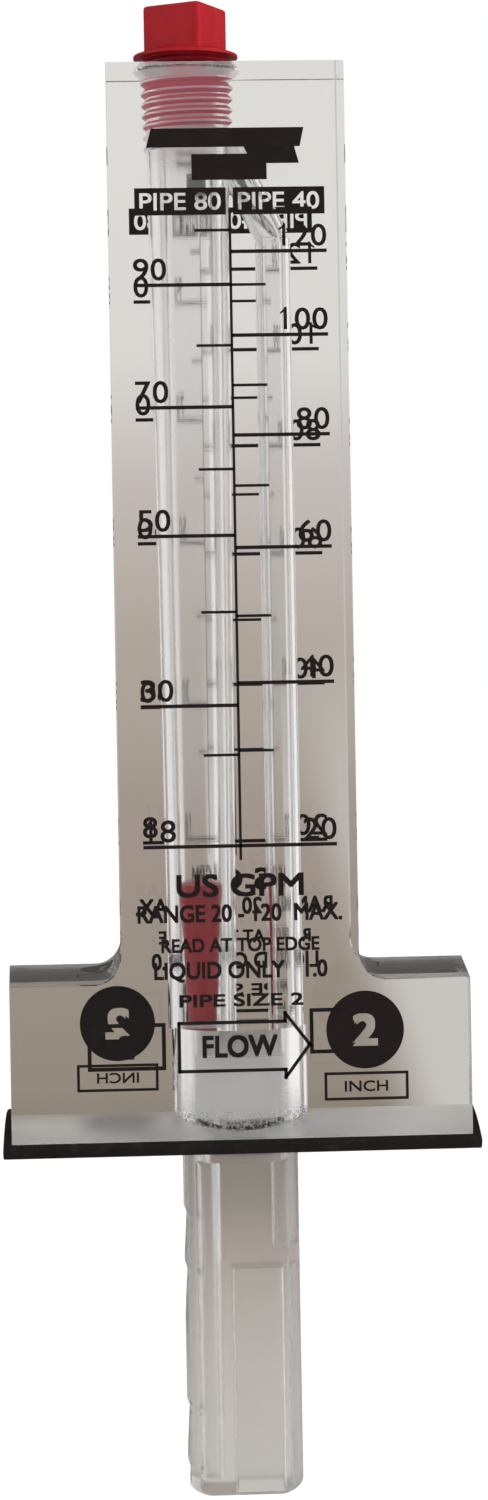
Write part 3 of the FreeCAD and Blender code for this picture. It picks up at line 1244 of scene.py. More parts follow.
@dataclass
class Probe:
    """Clear moulded probe: spigot, round neck, flats, two channels and a cored pocket.

    Attributes:
        node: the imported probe.
        spigot_foot: level at which the spigot begins.
        spigot_ledge: level above which it is narrower.
        pilot_radius: radius there.
        radius: radius of the neck and of the round sides below it.
        flat: distance of the flats from the middle.
        round_end: level below which the probe has flats.
        blend: height of the way from round to flat.
        edge: radius of the lower rim.
        total_x: axis of the channel behind the upstream holes.
        static_x: axis of the channel behind the downstream hole.
        sense_radius: radius of all five holes.
        sense_levels: levels of the upstream holes.
        scoop_depth: depth of the hollows at those holes.
        scoop_rise: how far over its hole a hollow begins.
        scoop_run: how far under its hole a hollow ends.
        core_half: half the depth of the cored pocket.
        core_top: level at which the pocket ends.
    """

    node: str = "pitot_probe"
    spigot_radius: float = 10.0
    spigot_foot: float = 1.6
    spigot_ledge: float = 10.6
    pilot_radius: float = 9.6
    radius: float = 8.65
    flat: float = 5.2
    round_end: float = -5.4
    blend: float = 0.5
    edge: float = 1.3
    total_x: float = -4.9
    total_radius: float = 1.75
    total_end: float = -53.4
    static_x: float = 6.0
    static_half: float = 1.5
    static_end: float = -18.8
    static_port_z: float = -9.9
    sense_radius: float = 0.9
    sense_levels: tuple[float, ...] = (-14.6, -23.0, -43.5, -52.7)
    scoop_depth: float = 0.5
    scoop_rise: float = 2.0
    scoop_run: float = 6.5
    core_left: float = -1.6
    core_right: float = 6.0
    core_half: float = 3.2
    core_top: float = -22.0
    corner: float = 0.6
    columns: int = 160

    def __post_init__(self) -> None:
        """Reads the ends of the probe from the frame."""
        self.low, self.high = node_box(self.node)

    def form(self) -> Surface:
        """The outer form. Below the neck the radius is the smaller of the round and the flat:

        r(a) = min(R, flat / |sin a|). The columns include the angles where the two meet.

        Returns:
            The closed surface.
        """
        meet = math.asin(self.flat / self.radius)
        corners = np.array([meet, math.pi - meet, math.pi + meet, 2.0 * math.pi - meet])
        angles = np.sort(np.concatenate([even_angles(self.columns), corners]))
        cut = self.flat / np.maximum(np.abs(np.sin(angles)), 1e-6)
        low, high = self.low[2], self.high[2]
        rim = arc(self.radius - self.edge, low + self.edge, self.edge, -90, 0, 9)
        rows = [
            *((level, radius, True) for radius, level in rim),
            (self.round_end - self.blend, self.radius, True),
            (self.round_end, self.radius, False), (self.spigot_foot, self.radius, False),
            (self.spigot_foot, self.spigot_radius, False),
            (self.spigot_ledge, self.spigot_radius, False),
            (self.spigot_ledge, self.pilot_radius, False), (high, self.pilot_radius, False),
        ]
        radii = np.array([
            np.minimum(radius, cut) if flatted else np.full(len(angles), radius)
            for _, radius, flatted in rows
        ])
        return turned(radii, np.array([row[0] for row in rows]), angles, 0.0)

    def channels(self) -> Surface:
        """The round and the square channel, and the cored pocket, open at their ends.

        Returns:
            The three as one surface.
        """
        over = self.high[2] + 1.0
        under = self.low[2] - 1.0
        total = lathe([(self.total_radius, self.total_end), (self.total_radius, over)],
                      self.total_x, 64)
        square = rounded_rectangle(
            self.static_x - self.static_half, self.static_x + self.static_half,
            -self.static_half, self.static_half, self.corner,
        )
        static = prism(square, [self.static_end, over], 2)
        pocket = rounded_rectangle(
            self.core_left, self.core_right, -self.core_half, self.core_half, self.corner
        )
        return total.joined(static, prism(pocket, [under, self.core_top], 2))

    def holes(self) -> Surface:
        """Four holes that face the flow and one that looks downstream.

        Returns:
            Rods along X, which don't touch one another.
        """
        reach = 1.2 * self.radius
        spans = [(level, -reach, self.total_x) for level in self.sense_levels]
        spans.append((self.static_port_z, self.static_x, reach))
        made = [
            prism(circle(0.0, level, self.sense_radius, 32), [start, end], 0)
            for level, start, end in spans
        ]
        return made[0].joined(*made[1:])

    def scoops(self) -> Surface:
        """Hollows that lead to the holes, each a wedge across the round side.

        Returns:
            The wedges, which don't touch one another.
        """
        wide = 2.0 * self.radius
        made = []
        for level in self.sense_levels:
            outer = -self.radius - self.scoop_depth
            wedge = np.array([
                (outer, level + self.scoop_rise + self.scoop_depth),
                (self.scoop_depth - self.radius, level + self.sense_radius),
                (-self.radius, level - self.scoop_run),
                (outer, level - self.scoop_run),
            ])
            made.append(prism(wedge, [-wide, wide], 1))
        return made[0].joined(*made[1:])

    def build(self) -> bpy.types.Object:
        """Cuts the channels, holes and hollows and finishes the probe.

        Returns:
            The probe, in place of its node.
        """
        piece = self.form().as_object("sensing_probe")
        carve(piece, self.channels(), self.holes(), self.scoops())
        shade(piece, sharp_above=30.0)
        MOULDING.dress(piece)
        return settle(piece, Body.HOUSING, self.node)


@dataclass
class Gasket:
    """Rubber sheet bent over the pipe, with softened cut edges and a hole for the probe.

    Attributes:
        node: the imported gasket.
        inner: radius of the pipe.
        thick: thickness of the sheet.
        slack: what the sheet stays under the block.
        flat_width: width before it is bent.
        hole_radius: radius of the probe's hole.
        edge: radius of the cut edges.
    """

    node: str = "saddle_gasket"
    inner: float = 30.16
    thick: float = 1.6
    slack: float = 0.02
    flat_width: float = 28.4
    hole_radius: float = 8.9
    edge: float = 0.22

    def __post_init__(self) -> None:
        """Reads the sheet's length from the frame."""
        self.low, self.high = node_box(self.node)

    def section(self, inset: float) -> np.ndarray:
        """Cross-section of the bent sheet, moved inward by inset.

        A rounded rectangle over arc length s and depth t is bent by
        y = (R + t) sin(s / M), z = (R + t) cos(s / M) - R, with M the middle radius. Its
        long sides are divided so that they bend smoothly.

        Args:
            inset: distance inward.

        Returns:
            Points in Y and Z.
        """
        half = self.flat_width / 2.0 - inset
        corner = self.edge
        along = np.linspace(corner - half, half - corner, 64)[1:-1]
        low = np.stack([along, np.full(len(along), inset)], axis=-1)
        top = self.thick - self.slack - inset
        high = np.stack([along[::-1], np.full(len(along), top)], axis=-1)
        steps = 5
        rim = rounded_rectangle(-half, half, inset, top, corner, steps)
        flat = np.vstack([rim[:2 * steps], high, rim[2 * steps:], low])
        middle = self.inner + self.thick / 2.0
        bent = flat[:, 0] / middle
        radius = self.inner + flat[:, 1]
        return np.stack([radius * np.sin(bent), radius * np.cos(bent) - self.inner], axis=-1)

    def build(self) -> bpy.types.Object:
        """Carries the section along the pipe, with round ends, and cuts the hole.

        Returns:
            The gasket, in place of its node.
        """
        angles = np.radians(np.linspace(0, 90, 5))
        insets = self.edge * (1.0 - np.sin(angles))
        steps = self.edge * (1.0 - np.cos(angles))
        levels = np.concatenate([self.low[0] + steps, (self.high[0] - steps)[::-1]])
        rings = []
        for level, inset in zip(levels, np.concatenate([insets, insets[::-1]])):
            flat = self.section(inset)
            rings.append(np.column_stack([np.full(len(flat), level), flat]))
        piece = loft(np.array(rings)).as_object("rubber_gasket")
        tall = 2.0 * self.thick
        carve(piece, lathe([(self.hole_radius, -tall), (self.hole_radius, 2.0 * tall)]))
        shade(piece, sharp_above=35.0)
        RUBBER.dress(piece)
        return settle(piece, Body.HOUSING, self.node)


@dataclass
class Float:
    """Turned float: a sharp head that is read on the dial, a cone, a shank and a nose.

    Attributes:
        node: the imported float.
        head_band: height of the head's straight band.
        cone: height of the cone under it.
        waist_radius: radius at the foot of the cone.
        edge: radius of the edges at both ends.
        fillet: bevel in the corner over the nose.
        chamfer: bevel at the foot of the shank.
        lip: inward and upward bevel under the band.
    """

    node: str = "indicator_float"
    head_radius: float = 4.85
    head_band: float = 1.4
    cone: float = 7.0
    waist_radius: float = 3.95
    foot_radius: float = 3.6
    nose_radius: float = 3.2
    nose_length: float = 3.6
    edge: float = 0.35
    fillet: float = 0.05
    chamfer: float = 0.08
    lip: tuple[float, float] = (0.02, 0.1)

    def build(self) -> bpy.types.Object:
        """Turns the profile. Its edges are arcs of radius edge.

        Returns:
            The float, in place of its node.
        """
        low, high = node_box(self.node)
        middle = (low[0] + high[0]) / 2.0
        bottom, top = low[2], high[2]
        soft = self.edge
        shank_z = bottom + self.nose_length
        band_z = top - self.head_band
        inward, upward = self.lip
        profile = np.vstack([
            arc(self.nose_radius - soft, bottom + soft, soft, -90, 0, 6),
            [(self.nose_radius, shank_z - self.fillet)],
            [(self.nose_radius + self.fillet, shank_z)],
            [(self.foot_radius - self.chamfer, shank_z)],
            [(self.foot_radius, shank_z + self.chamfer)],
            [(self.waist_radius, band_z - self.cone)],
            [(self.head_radius - inward, band_z)],
            [(self.head_radius, band_z + upward)],
            arc(self.head_radius - soft, top - soft, soft, 0, 90, 6),
        ])
        piece = lathe([tuple(pair) for pair in profile], middle, 128).as_object("red_float")
        shade(piece, sharp_above=24.0)
        FLOAT_RED.dress(piece)
        return settle(piece, Body.FLOAT, self.node)


@dataclass
class Plug:
    """Moulded taper plug: threaded shank, flared flange and square head.

    Attributes:
        node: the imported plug.
        thread_length: from the end of the shank up to the flange.
        clearance: radial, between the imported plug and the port.
        crest_gap: how far its crests stay short of the port's roots.
        grip: how far its flanks press into the port's.
        lead: depth of the chamfer at the end of the thread.
        lead_slope: growth of the radius for each millimetre up that chamfer.
        neck: distances under the flange between which the thread runs out.
        flange_rim: height of the flange's upright rim.
        rim_bevel: bevel under the rim.
        rim_break: inward and upward bevel over the rim.
        flange_rise: height at which the flange has flared into the head.
        head_half: half the width across the head's flats.
        head_turn: turn of the head about the plug's axis, in degrees.
    """

    node: str = "top_plug"
    thread_length: float = 11.4
    clearance: float = 0.3
    crest_gap: float = 0.06
    grip: float = 0.03
    lead: float = 0.8
    lead_slope: float = 1.2
    neck: tuple[float, float] = (0.9, 0.1)
    flange_radius: float = 7.85
    flange_rim: float = 0.35
    rim_bevel: float = 0.06
    rim_break: tuple[float, float] = (0.05, 0.1)
    flange_rise: float = 1.6
    head_half: float = 4.765
    head_corner: float = 0.75
    head_edge: float = 0.5
    head_turn: float = 61.2
    columns: int = 160

    def square(self, angles: np.ndarray, half: float, corner: float) -> np.ndarray:
        """Polar radius of a square with round corners.

        With b the angle from the nearest flat's middle, it is half / cos b on the flat, and
        d cos c + sqrt(k k - d d sin c sin c) on the corner, where k is the corner's radius,
        d = sqrt 2 (half - k) and c = b - 45 degrees.

        Args:
            angles: in radians.
            half: half the width across the flats.
            corner: radius of the corners.

        Returns:
            One radius for each angle.
        """
        quarter = math.pi / 2.0
        bend = np.abs((angles + quarter / 2.0) % quarter - quarter / 2.0)
        reach = math.sqrt(2.0) * (half - corner)
        tilt = bend - quarter / 2.0
        bow = reach * np.cos(tilt) + np.sqrt(
            np.maximum(corner**2 - (reach * np.sin(tilt)) ** 2, 0.0)
        )
        on_flat = half * np.tan(bend) <= half - corner
        return np.where(on_flat, half / np.cos(bend), bow)

    def build(self, thread: TaperThread) -> bpy.types.Object:
        """Rings from the end of the thread up to the top of the head.

        The screwed-in thread presses on the flanks of the port's thread, and its crests
        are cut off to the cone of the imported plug.

        Args:
            thread: the port's thread, which the plug's own thread follows.

        Returns:
            The plug, in place of its node.
        """
        low, high = node_box(self.node)
        bottom, top = low[2], high[2]
        angles = even_angles(self.columns)
        head_angles = angles - math.radians(self.head_turn)
        flange_z = bottom + self.thread_length
        shank = thread.levels(bottom, flange_z)
        crest = (thread.cone(shank) - self.crest_gap)[:, None]
        radii = np.minimum(thread.radius(angles, shank, -self.grip), crest)
        lead = radii.max() - self.lead + (shank - bottom) * self.lead_slope
        radii = np.minimum(radii, lead[:, None])
        start, end = self.neck
        neck = smooth_step(flange_z - start, flange_z - end, shank)[:, None]
        radii = radii * (1.0 - neck) + self.neck_radius(thread, flange_z) * neck
        inward, upward = self.rim_break
        rim_top = self.flange_rim + upward
        rim = np.array([0.0, self.rim_bevel, self.flange_rim, rim_top])
        rim_radii = self.flange_radius - np.array([self.rim_bevel, 0.0, 0.0, inward])
        rise = np.linspace(0.0, 1.0, 12)[1:]
        flare_z = flange_z + rim_top + rise * (self.flange_rise - rim_top)
        flare_r = self.flange_radius - inward - rise * (self.flange_radius - self.head_half)
        head = self.square(head_angles, self.head_half, self.head_corner)
        round_r = np.concatenate([rim_radii, flare_r])
        round_z = np.concatenate([flange_z + rim, flare_z])
        collar = np.maximum(round_r[:, None], head[None, :])
        turn = np.radians(np.linspace(0, 90, 7))
        edge_z = top - self.head_edge * (1.0 - np.sin(turn))
        insets = self.head_edge * (1.0 - np.cos(turn))
        crown = np.array([
            self.square(head_angles, self.head_half - inset, self.head_corner - 0.6 * inset)
            for inset in insets
        ])
        rings = np.vstack([radii, collar, crown])
        heights = np.concatenate([shank, round_z, edge_z])
        piece = turned(rings, heights, angles, thread.x).as_object("red_plug")
        shade(piece, sharp_above=34.0)
        PLUG_RED.dress(piece)
        return settle(piece, Body.PLUG, self.node)

    def neck_radius(self, thread: TaperThread, level: float) -> float:
        """Radius of the plain neck under the flange."""
        return thread.cone(level) - self.clearance - 0.5 * thread.depth


@dataclass
class Lettering:
    """Flat lettering and shapes of ink, laid on one printed face.

    Attributes:
        side: the face.
        face: distance of the face from the middle of the slab.
        bond: how far the ink reaches into the face, so that no air lies between them.
        coat: thickness of the ink.
    """

    side: Side
    face: float
    bond: float = 0.008
    coat: float = 0.02
    shapes: list[Surface] = field(default_factory=list)

    def lay(self, flat: np.ndarray, faces: list[list[int]]) -> None:
        """Keeps a shape: across goes along X, seen from outside, and up along Z.

        Args:
            flat: points across, up and through.
            faces: faces of the shape.
        """
        sign = self.side.value
        across = -sign * flat[:, 0]
        depth = sign * (self.face - self.bond + self.coat * flat[:, 2])
        points = np.column_stack([across, depth, flat[:, 1]])
        self.shapes.append(Surface(points, faces).welded().outward())

    def patch(self, corners: list[tuple[float, float]]) -> None:
        """A filled shape with straight sides."""
        solid = prism(np.array(corners, float), [0.0, 1.0], 2)
        self.lay(solid.points, solid.faces)

    def bar(self, left: float, right: float, middle: float, thick: float) -> None:
        """A level line."""
        self.patch(rectangle(left, right, middle - thick / 2.0, middle + thick / 2.0))

    def frame(self, left: float, right: float, low: float, high: float, thick: float) -> None:
        """An open rectangle of four lines.

        Args:
            left: place of its left side.
            right: place of its right side.
            low: level of its foot.
            high: level of its top.
            thick: thickness of the lines, which lie inside.
        """
        self.bar(left, right, low + thick / 2.0, thick)
        self.bar(left, right, high - thick / 2.0, thick)
        for edge in (left, right - thick):
            self.patch(rectangle(edge, edge + thick, low + thick, high - thick))

    def words(self, text: str, x: float, z: float, height: float, anchor: Anchor = Anchor.LEFT,
              weight: float = 0.0, width: float | None = None) -> None:
        """A line of lettering.

        Args:
            text: what it says.
            x: place of its anchor, seen from outside.
            z: its base line.
            height: height of a capital.
            anchor: which end stays at x.
            weight: extra thickness of the strokes on each side.
            width: width to fit the line to, or None.
        """
        flat, faces = glyph_mesh(text, height)
        left, right = flat[:, 0].min(), flat[:, 0].max()
        squeeze = width / (right - left) if width else 1.0
        pivot = {Anchor.LEFT: left, Anchor.RIGHT: right, Anchor.CENTRE: (left + right) / 2.0}
        flat[:, 0] = (flat[:, 0] - pivot[anchor]) * squeeze + x
        flat[:, 1] += z
        for copy in thickened(flat, weight):
            self.lay(copy, faces)

    def number(self, value: int, outer: float, z: float, height: float, anchor: Anchor,
               weight: float) -> None:
        """A number with every figure in a cell of the same width. A one has a flag.

        Args:
            value: the number.
            outer: place of the number's outer end.
            z: its base line.
            height: height of a figure.
            anchor: which end of the number stays at outer.
            weight: extra thickness of the strokes on each side.
        """
        cell = 0.78 * height
        figures = str(value)
        start = outer if anchor is Anchor.LEFT else outer - cell * len(figures) + 0.1 * height
        for spot, figure in enumerate(figures):
            left = start + spot * cell
            if figure != "1":
                self.words(figure, left, z, height, Anchor.LEFT, weight, 0.66 * height)
                continue
            thick = 0.115 * height + 2.0 * weight
            stem = left + 0.42 * height
            self.patch([(stem - thick, z), (stem, z), (stem, z + height),
                        (stem - 0.7 * thick, z + height), (stem - thick, z + 0.92 * height)])
            self.patch([
                (stem - thick, z + 0.90 * height), (stem - 0.3 * height, z + 0.77 * height),
                (stem - 0.3 * height, z + 0.68 * height), (stem - thick, z + 0.78 * height),
            ])

    def reversed_words(self, text: str, plate: np.ndarray, height: float, weight: float,
                       width: float) -> None:
        """A filled shape with the lettering left out of it.

        Args:
            text: what it says.
            plate: outline of the shape.
            height: height of a capital.
            weight: extra thickness of the strokes on each side.
            width: width of the lettering.
        """
        flat, faces = glyph_mesh(text, height)
        low, high = flat.min(axis=0), flat.max(axis=0)
        middle = (plate.min(axis=0) + plate.max(axis=0)) / 2.0
        flat[:, 0] = (flat[:, 0] - (low[0] + high[0]) / 2.0) * width / (high[0] - low[0])
        flat[:, 0] += middle[0]
        flat[:, 1] += middle[1] - (low[1] + high[1]) / 2.0
        flat[:, 2] = flat[:, 2] * 3.0 - 1.0
        piece = prism(plate, [0.0, 1.0], 2).as_object("plate")
        carve(piece, *(Surface(copy, faces).welded().outward()
                       for copy in thickened(flat, weight)))
        points, left_over = mesh_parts(piece.data)
        discard(piece)
        self.lay(points / MM, left_over)

    def build(self, name: str) -> bpy.types.Object:
        """Joins what was kept into one piece of ink and starts afresh.

        Args:
            name: name of the piece.

        Returns:
            The piece.
        """
        piece = self.shapes[0].joined(*self.shapes[1:]).as_object(name)
        self.shapes = []
        INK.dress(piece)
        return settle(piece, Body.HOUSING)


def thickened(flat: np.ndarray, weight: float) -> list[np.ndarray]:
    """Copies of a line of lettering, moved to four corners so that its strokes grow.

    Each copy is a little thinner than the one before, so that no two faces coincide.

    Args:
        flat: points across, up and through.
        weight: extra thickness of the strokes on each side.

    Returns:
        The points of the line itself for no weight, or of four copies.
    """
    if weight == 0.0:
        return [flat]
    copies = []
    for spot, (across, up) in enumerate(((-1.0, -1.0), (1.0, -1.0), (-1.0, 1.0), (1.0, 1.0))):
        copy = flat + np.array([across * weight, up * weight, 0.0])
        copy[:, 2] = copy[:, 2] * (1.0 - 0.06 * spot) + 0.02 * spot
        copies.append(copy)
    return copies


def glyph_mesh(text: str, height: float) -> tuple[np.ndarray, list[list[int]]]:
    """A line of lettering in the built-in face as a flat solid.

    Args:
        text: what it says.
        height: height of a capital.

    Returns:
        Points across, up and through from 0 to 1 in millimetres, and faces.
    """
    # Height of a capital in the built-in face, as a share of the curve's size.
    capital = 0.729
    source = bpy.data.curves.new("lettering", "FONT")
    source.body = text
    source.size = height / capital
    source.resolution_u = 4
    source.extrude = 0.5
    holder = linked("lettering", source)
    graph = bpy.context.evaluated_depsgraph_get()
    mesh = bpy.data.meshes.new_from_object(holder.evaluated_get(graph))
    points, faces = mesh_parts(mesh)
    bpy.data.objects.remove(holder)
    bpy.data.curves.remove(source)
    bpy.data.meshes.remove(mesh)
    points[:, 2] += 0.5
    return points, faces


@dataclass
class PrintedFace:
    """Everything printed on one face: header, dial, notes, arrow and badge.

    Places are measured from the slab's middle line and from the pipe's crown, with across
    running to the reader's right.
    """

    side: Side
    face: float
    drop: float = 0.0
    line_x: float = 0.37
    line_low: float = 39.8
    line_high: float = 135.1
    line_thick: float = 0.40
    major_thick: float = 0.53
    minor_thick: float = 0.41
    digit_height: float = 3.3
    digit_rise: float = 0.75
    digit_weight: float = 0.05
    right_end: float = 14.5
    left_end: float = -13.85
    right_minor_end: float = 5.45
    left_minor_end: float = -4.8
    right_majors: dict[int, float] = field(default_factory=lambda: {
        120: 128.8, 100: 116.55, 80: 101.95, 60: 85.5, 40: 65.7, 20: 41.9,
    })
    right_minors: tuple[float, ...] = (123.95, 109.25, 94.55, 75.5, 55.8)
    left_majors: dict[int, float] = field(default_factory=lambda: {
        90: 124.0, 70: 106.1, 50: 87.3, 30: 62.45, 18: 41.9,
    })
    left_minors: tuple[float, ...] = (131.95, 115.1, 97.0, 76.1, 55.2)

    def __post_init__(self) -> None:
        """Starts the lettering of this face."""
        self.ink = Lettering(self.side, self.face)

    def name(self, part: str) -> str:
        """Name of a part of this face's print."""
        return f"{self.side.name.lower()}_{part}"

    def column(self, majors: dict[int, float], minors: tuple[float, ...], end: float,
               minor_end: float, flip: float) -> None:
        """One column of the dial: long lines with figures and short lines between them.

        Args:
            majors: height of each figure's line.
            minors: heights of the short lines.
            end: outer end of the long lines.
            minor_end: outer end of the short lines.
            flip: 1, or -1 where the column lies on the reader's other hand.
        """
        line = self.line_x * flip
        for number, level in majors.items():
            z = level - self.drop
            self.ink.bar(*sorted((line, end * flip)), z, self.major_thick)
            outer = end * flip
            anchor = Anchor.RIGHT if outer > line else Anchor.LEFT
            self.ink.number(number, outer, z + self.digit_rise, self.digit_height, anchor,
                            self.digit_weight)
        for level in minors:
            self.ink.bar(*sorted((line, minor_end * flip)), level - self.drop, self.minor_thick)

    def dial(self) -> bpy.types.Object:
        """Both columns on the same side of the slab, front and back, and the unit.

        Returns:
            The dial.
        """
        flip = 1.0 if self.side is Side.FRONT else -1.0
        half = self.line_thick / 2.0
        line = self.line_x * flip
        low, high = self.line_low - self.drop, self.line_high - self.drop
        self.ink.patch(rectangle(line - half, line + half, low, high))
        self.column(self.right_majors, self.right_minors, self.right_end,
                    self.right_minor_end, flip)
        self.column(self.left_majors, self.left_minors, self.left_end,
                    self.left_minor_end, flip)
        self.ink.words("US GPM", 0.2, 34.6 - self.drop, height=3.3, anchor=Anchor.CENTRE,
                       weight=0.12, width=18.4)
        return self.ink.build(self.name("dial"))

    def header(self) -> bpy.types.Object:
        """A slanted bar, a plain box and a heading over each column.

        Returns:
            The header.
        """
        slanted_bar = [(-11.7, 144.1), (10.8, 144.1), (11.4, 146.9), (-10.95, 146.9)]
        self.ink.patch(slanted_bar)
        self.ink.patch(rectangle(-5.1, 5.9, 139.3, 143.1))
        numbers = ("80", "40") if self.side is Side.FRONT else ("40", "80")
        low, high = 134.2 - self.drop, 138.2 - self.drop
        for number, left, right in zip(numbers, (-13.53, 0.86), (-0.16, 14.29)):
            plate = np.array(rectangle(left, right, low, high))
            self.ink.reversed_words(f"PIPE {number}", plate, height=2.6, weight=0.05, width=11.8)
        return self.ink.build(self.name("header"))

    def notes(self) -> bpy.types.Object:
        """Four short lines under the dial.

        Returns:
            The notes.
        """
        # Words, base line, height of a capital, extra weight of the strokes, and width.
        lines = (
            ("RANGE 20 - 120  MAX.", 30.9, 2.55, 0.09, 29.8),
            ("READ AT TOP EDGE", 26.5, 2.0, 0.08, 23.0),
            ("LIQUID ONLY   1.0", 22.6, 2.5, 0.09, 25.2),
            ("PIPE SIZE 2", 18.5, 1.8, 0.08, 18.0),
        )
        for text, z, height, weight, width in lines:
            self.ink.words(text, 0.1, z - self.drop, height, Anchor.CENTRE, weight, width)
        return self.ink.build(self.name("notes"))

    def arrow(self) -> bpy.types.Object:
        """A flow arrow in outline that points downstream, with its word.

        Returns:
            The arrow.
        """
        point = 1.0 if self.side is Side.FRONT else -1.0
        thick = 0.5
        left, neck, tip = -9.1, 6.45, 10.0
        low, high = 9.05, 16.1
        head_low, head_high, middle = 7.9, 17.3, 12.65
        z = -self.drop

        def line(start: tuple[float, float], end: tuple[float, float]) -> None:
            """A stroke between two places, as a patch of even thickness.

            Args:
                start: place where it begins.
                end: place where it ends.
            """
            a, b = np.array(start), np.array(end)
            along = (b - a) / np.linalg.norm(b - a)
            side = np.array([-along[1], along[0]]) * thick / 2.0
            reach = along * thick / 2.0
            corners = [a - side - reach, b - side + reach, b + side + reach, a + side - reach]
            self.ink.patch([(point * x, y + z) for x, y in corners])

        places = [(left, high), (neck, high), (neck, head_high), (tip, middle),
                  (neck, head_low), (neck, low), (left, low)]
        for start, end in zip(places, places[1:] + places[:1]):
            line(start, end)
        self.ink.words("FLOW", point * -0.2, 11.1 + z, height=3.2, anchor=Anchor.CENTRE,
                       weight=0.13, width=10.8)
        return self.ink.build(self.name("flow_arrow"))

    def badges(self) -> bpy.types.Object:
        """An outlined box on the left, and a disc with a size figure on the right.

        Returns:
            The badges.
        """
        z = -self.drop
        self.ink.frame(-22.5, -11.05, 9.35 + z, 16.25 + z, thick=0.58)
        self.ink.words("2", -16.8, 11.1 + z, height=3.5, anchor=Anchor.CENTRE, weight=0.1)
        disc = circle(18.15, 14.6 + z, 5.7, 96)
        self.ink.reversed_words("2", disc, height=4.5, weight=0.25, width=3.2)
        self.ink.frame(12.05, 24.4, 4.3 + z, 8.45 + z, thick=0.42)
        self.ink.words("INCH", 18.2, 5.6 + z, height=1.6, anchor=Anchor.CENTRE, weight=0.04,
                       width=6.3)
        return self.ink.build(self.name("badges"))

    def build(self) -> list[bpy.types.Object]:
        """All parts of this face's print."""
        return [self.header(), self.dial(), self.notes(), self.arrow(), self.badges()]


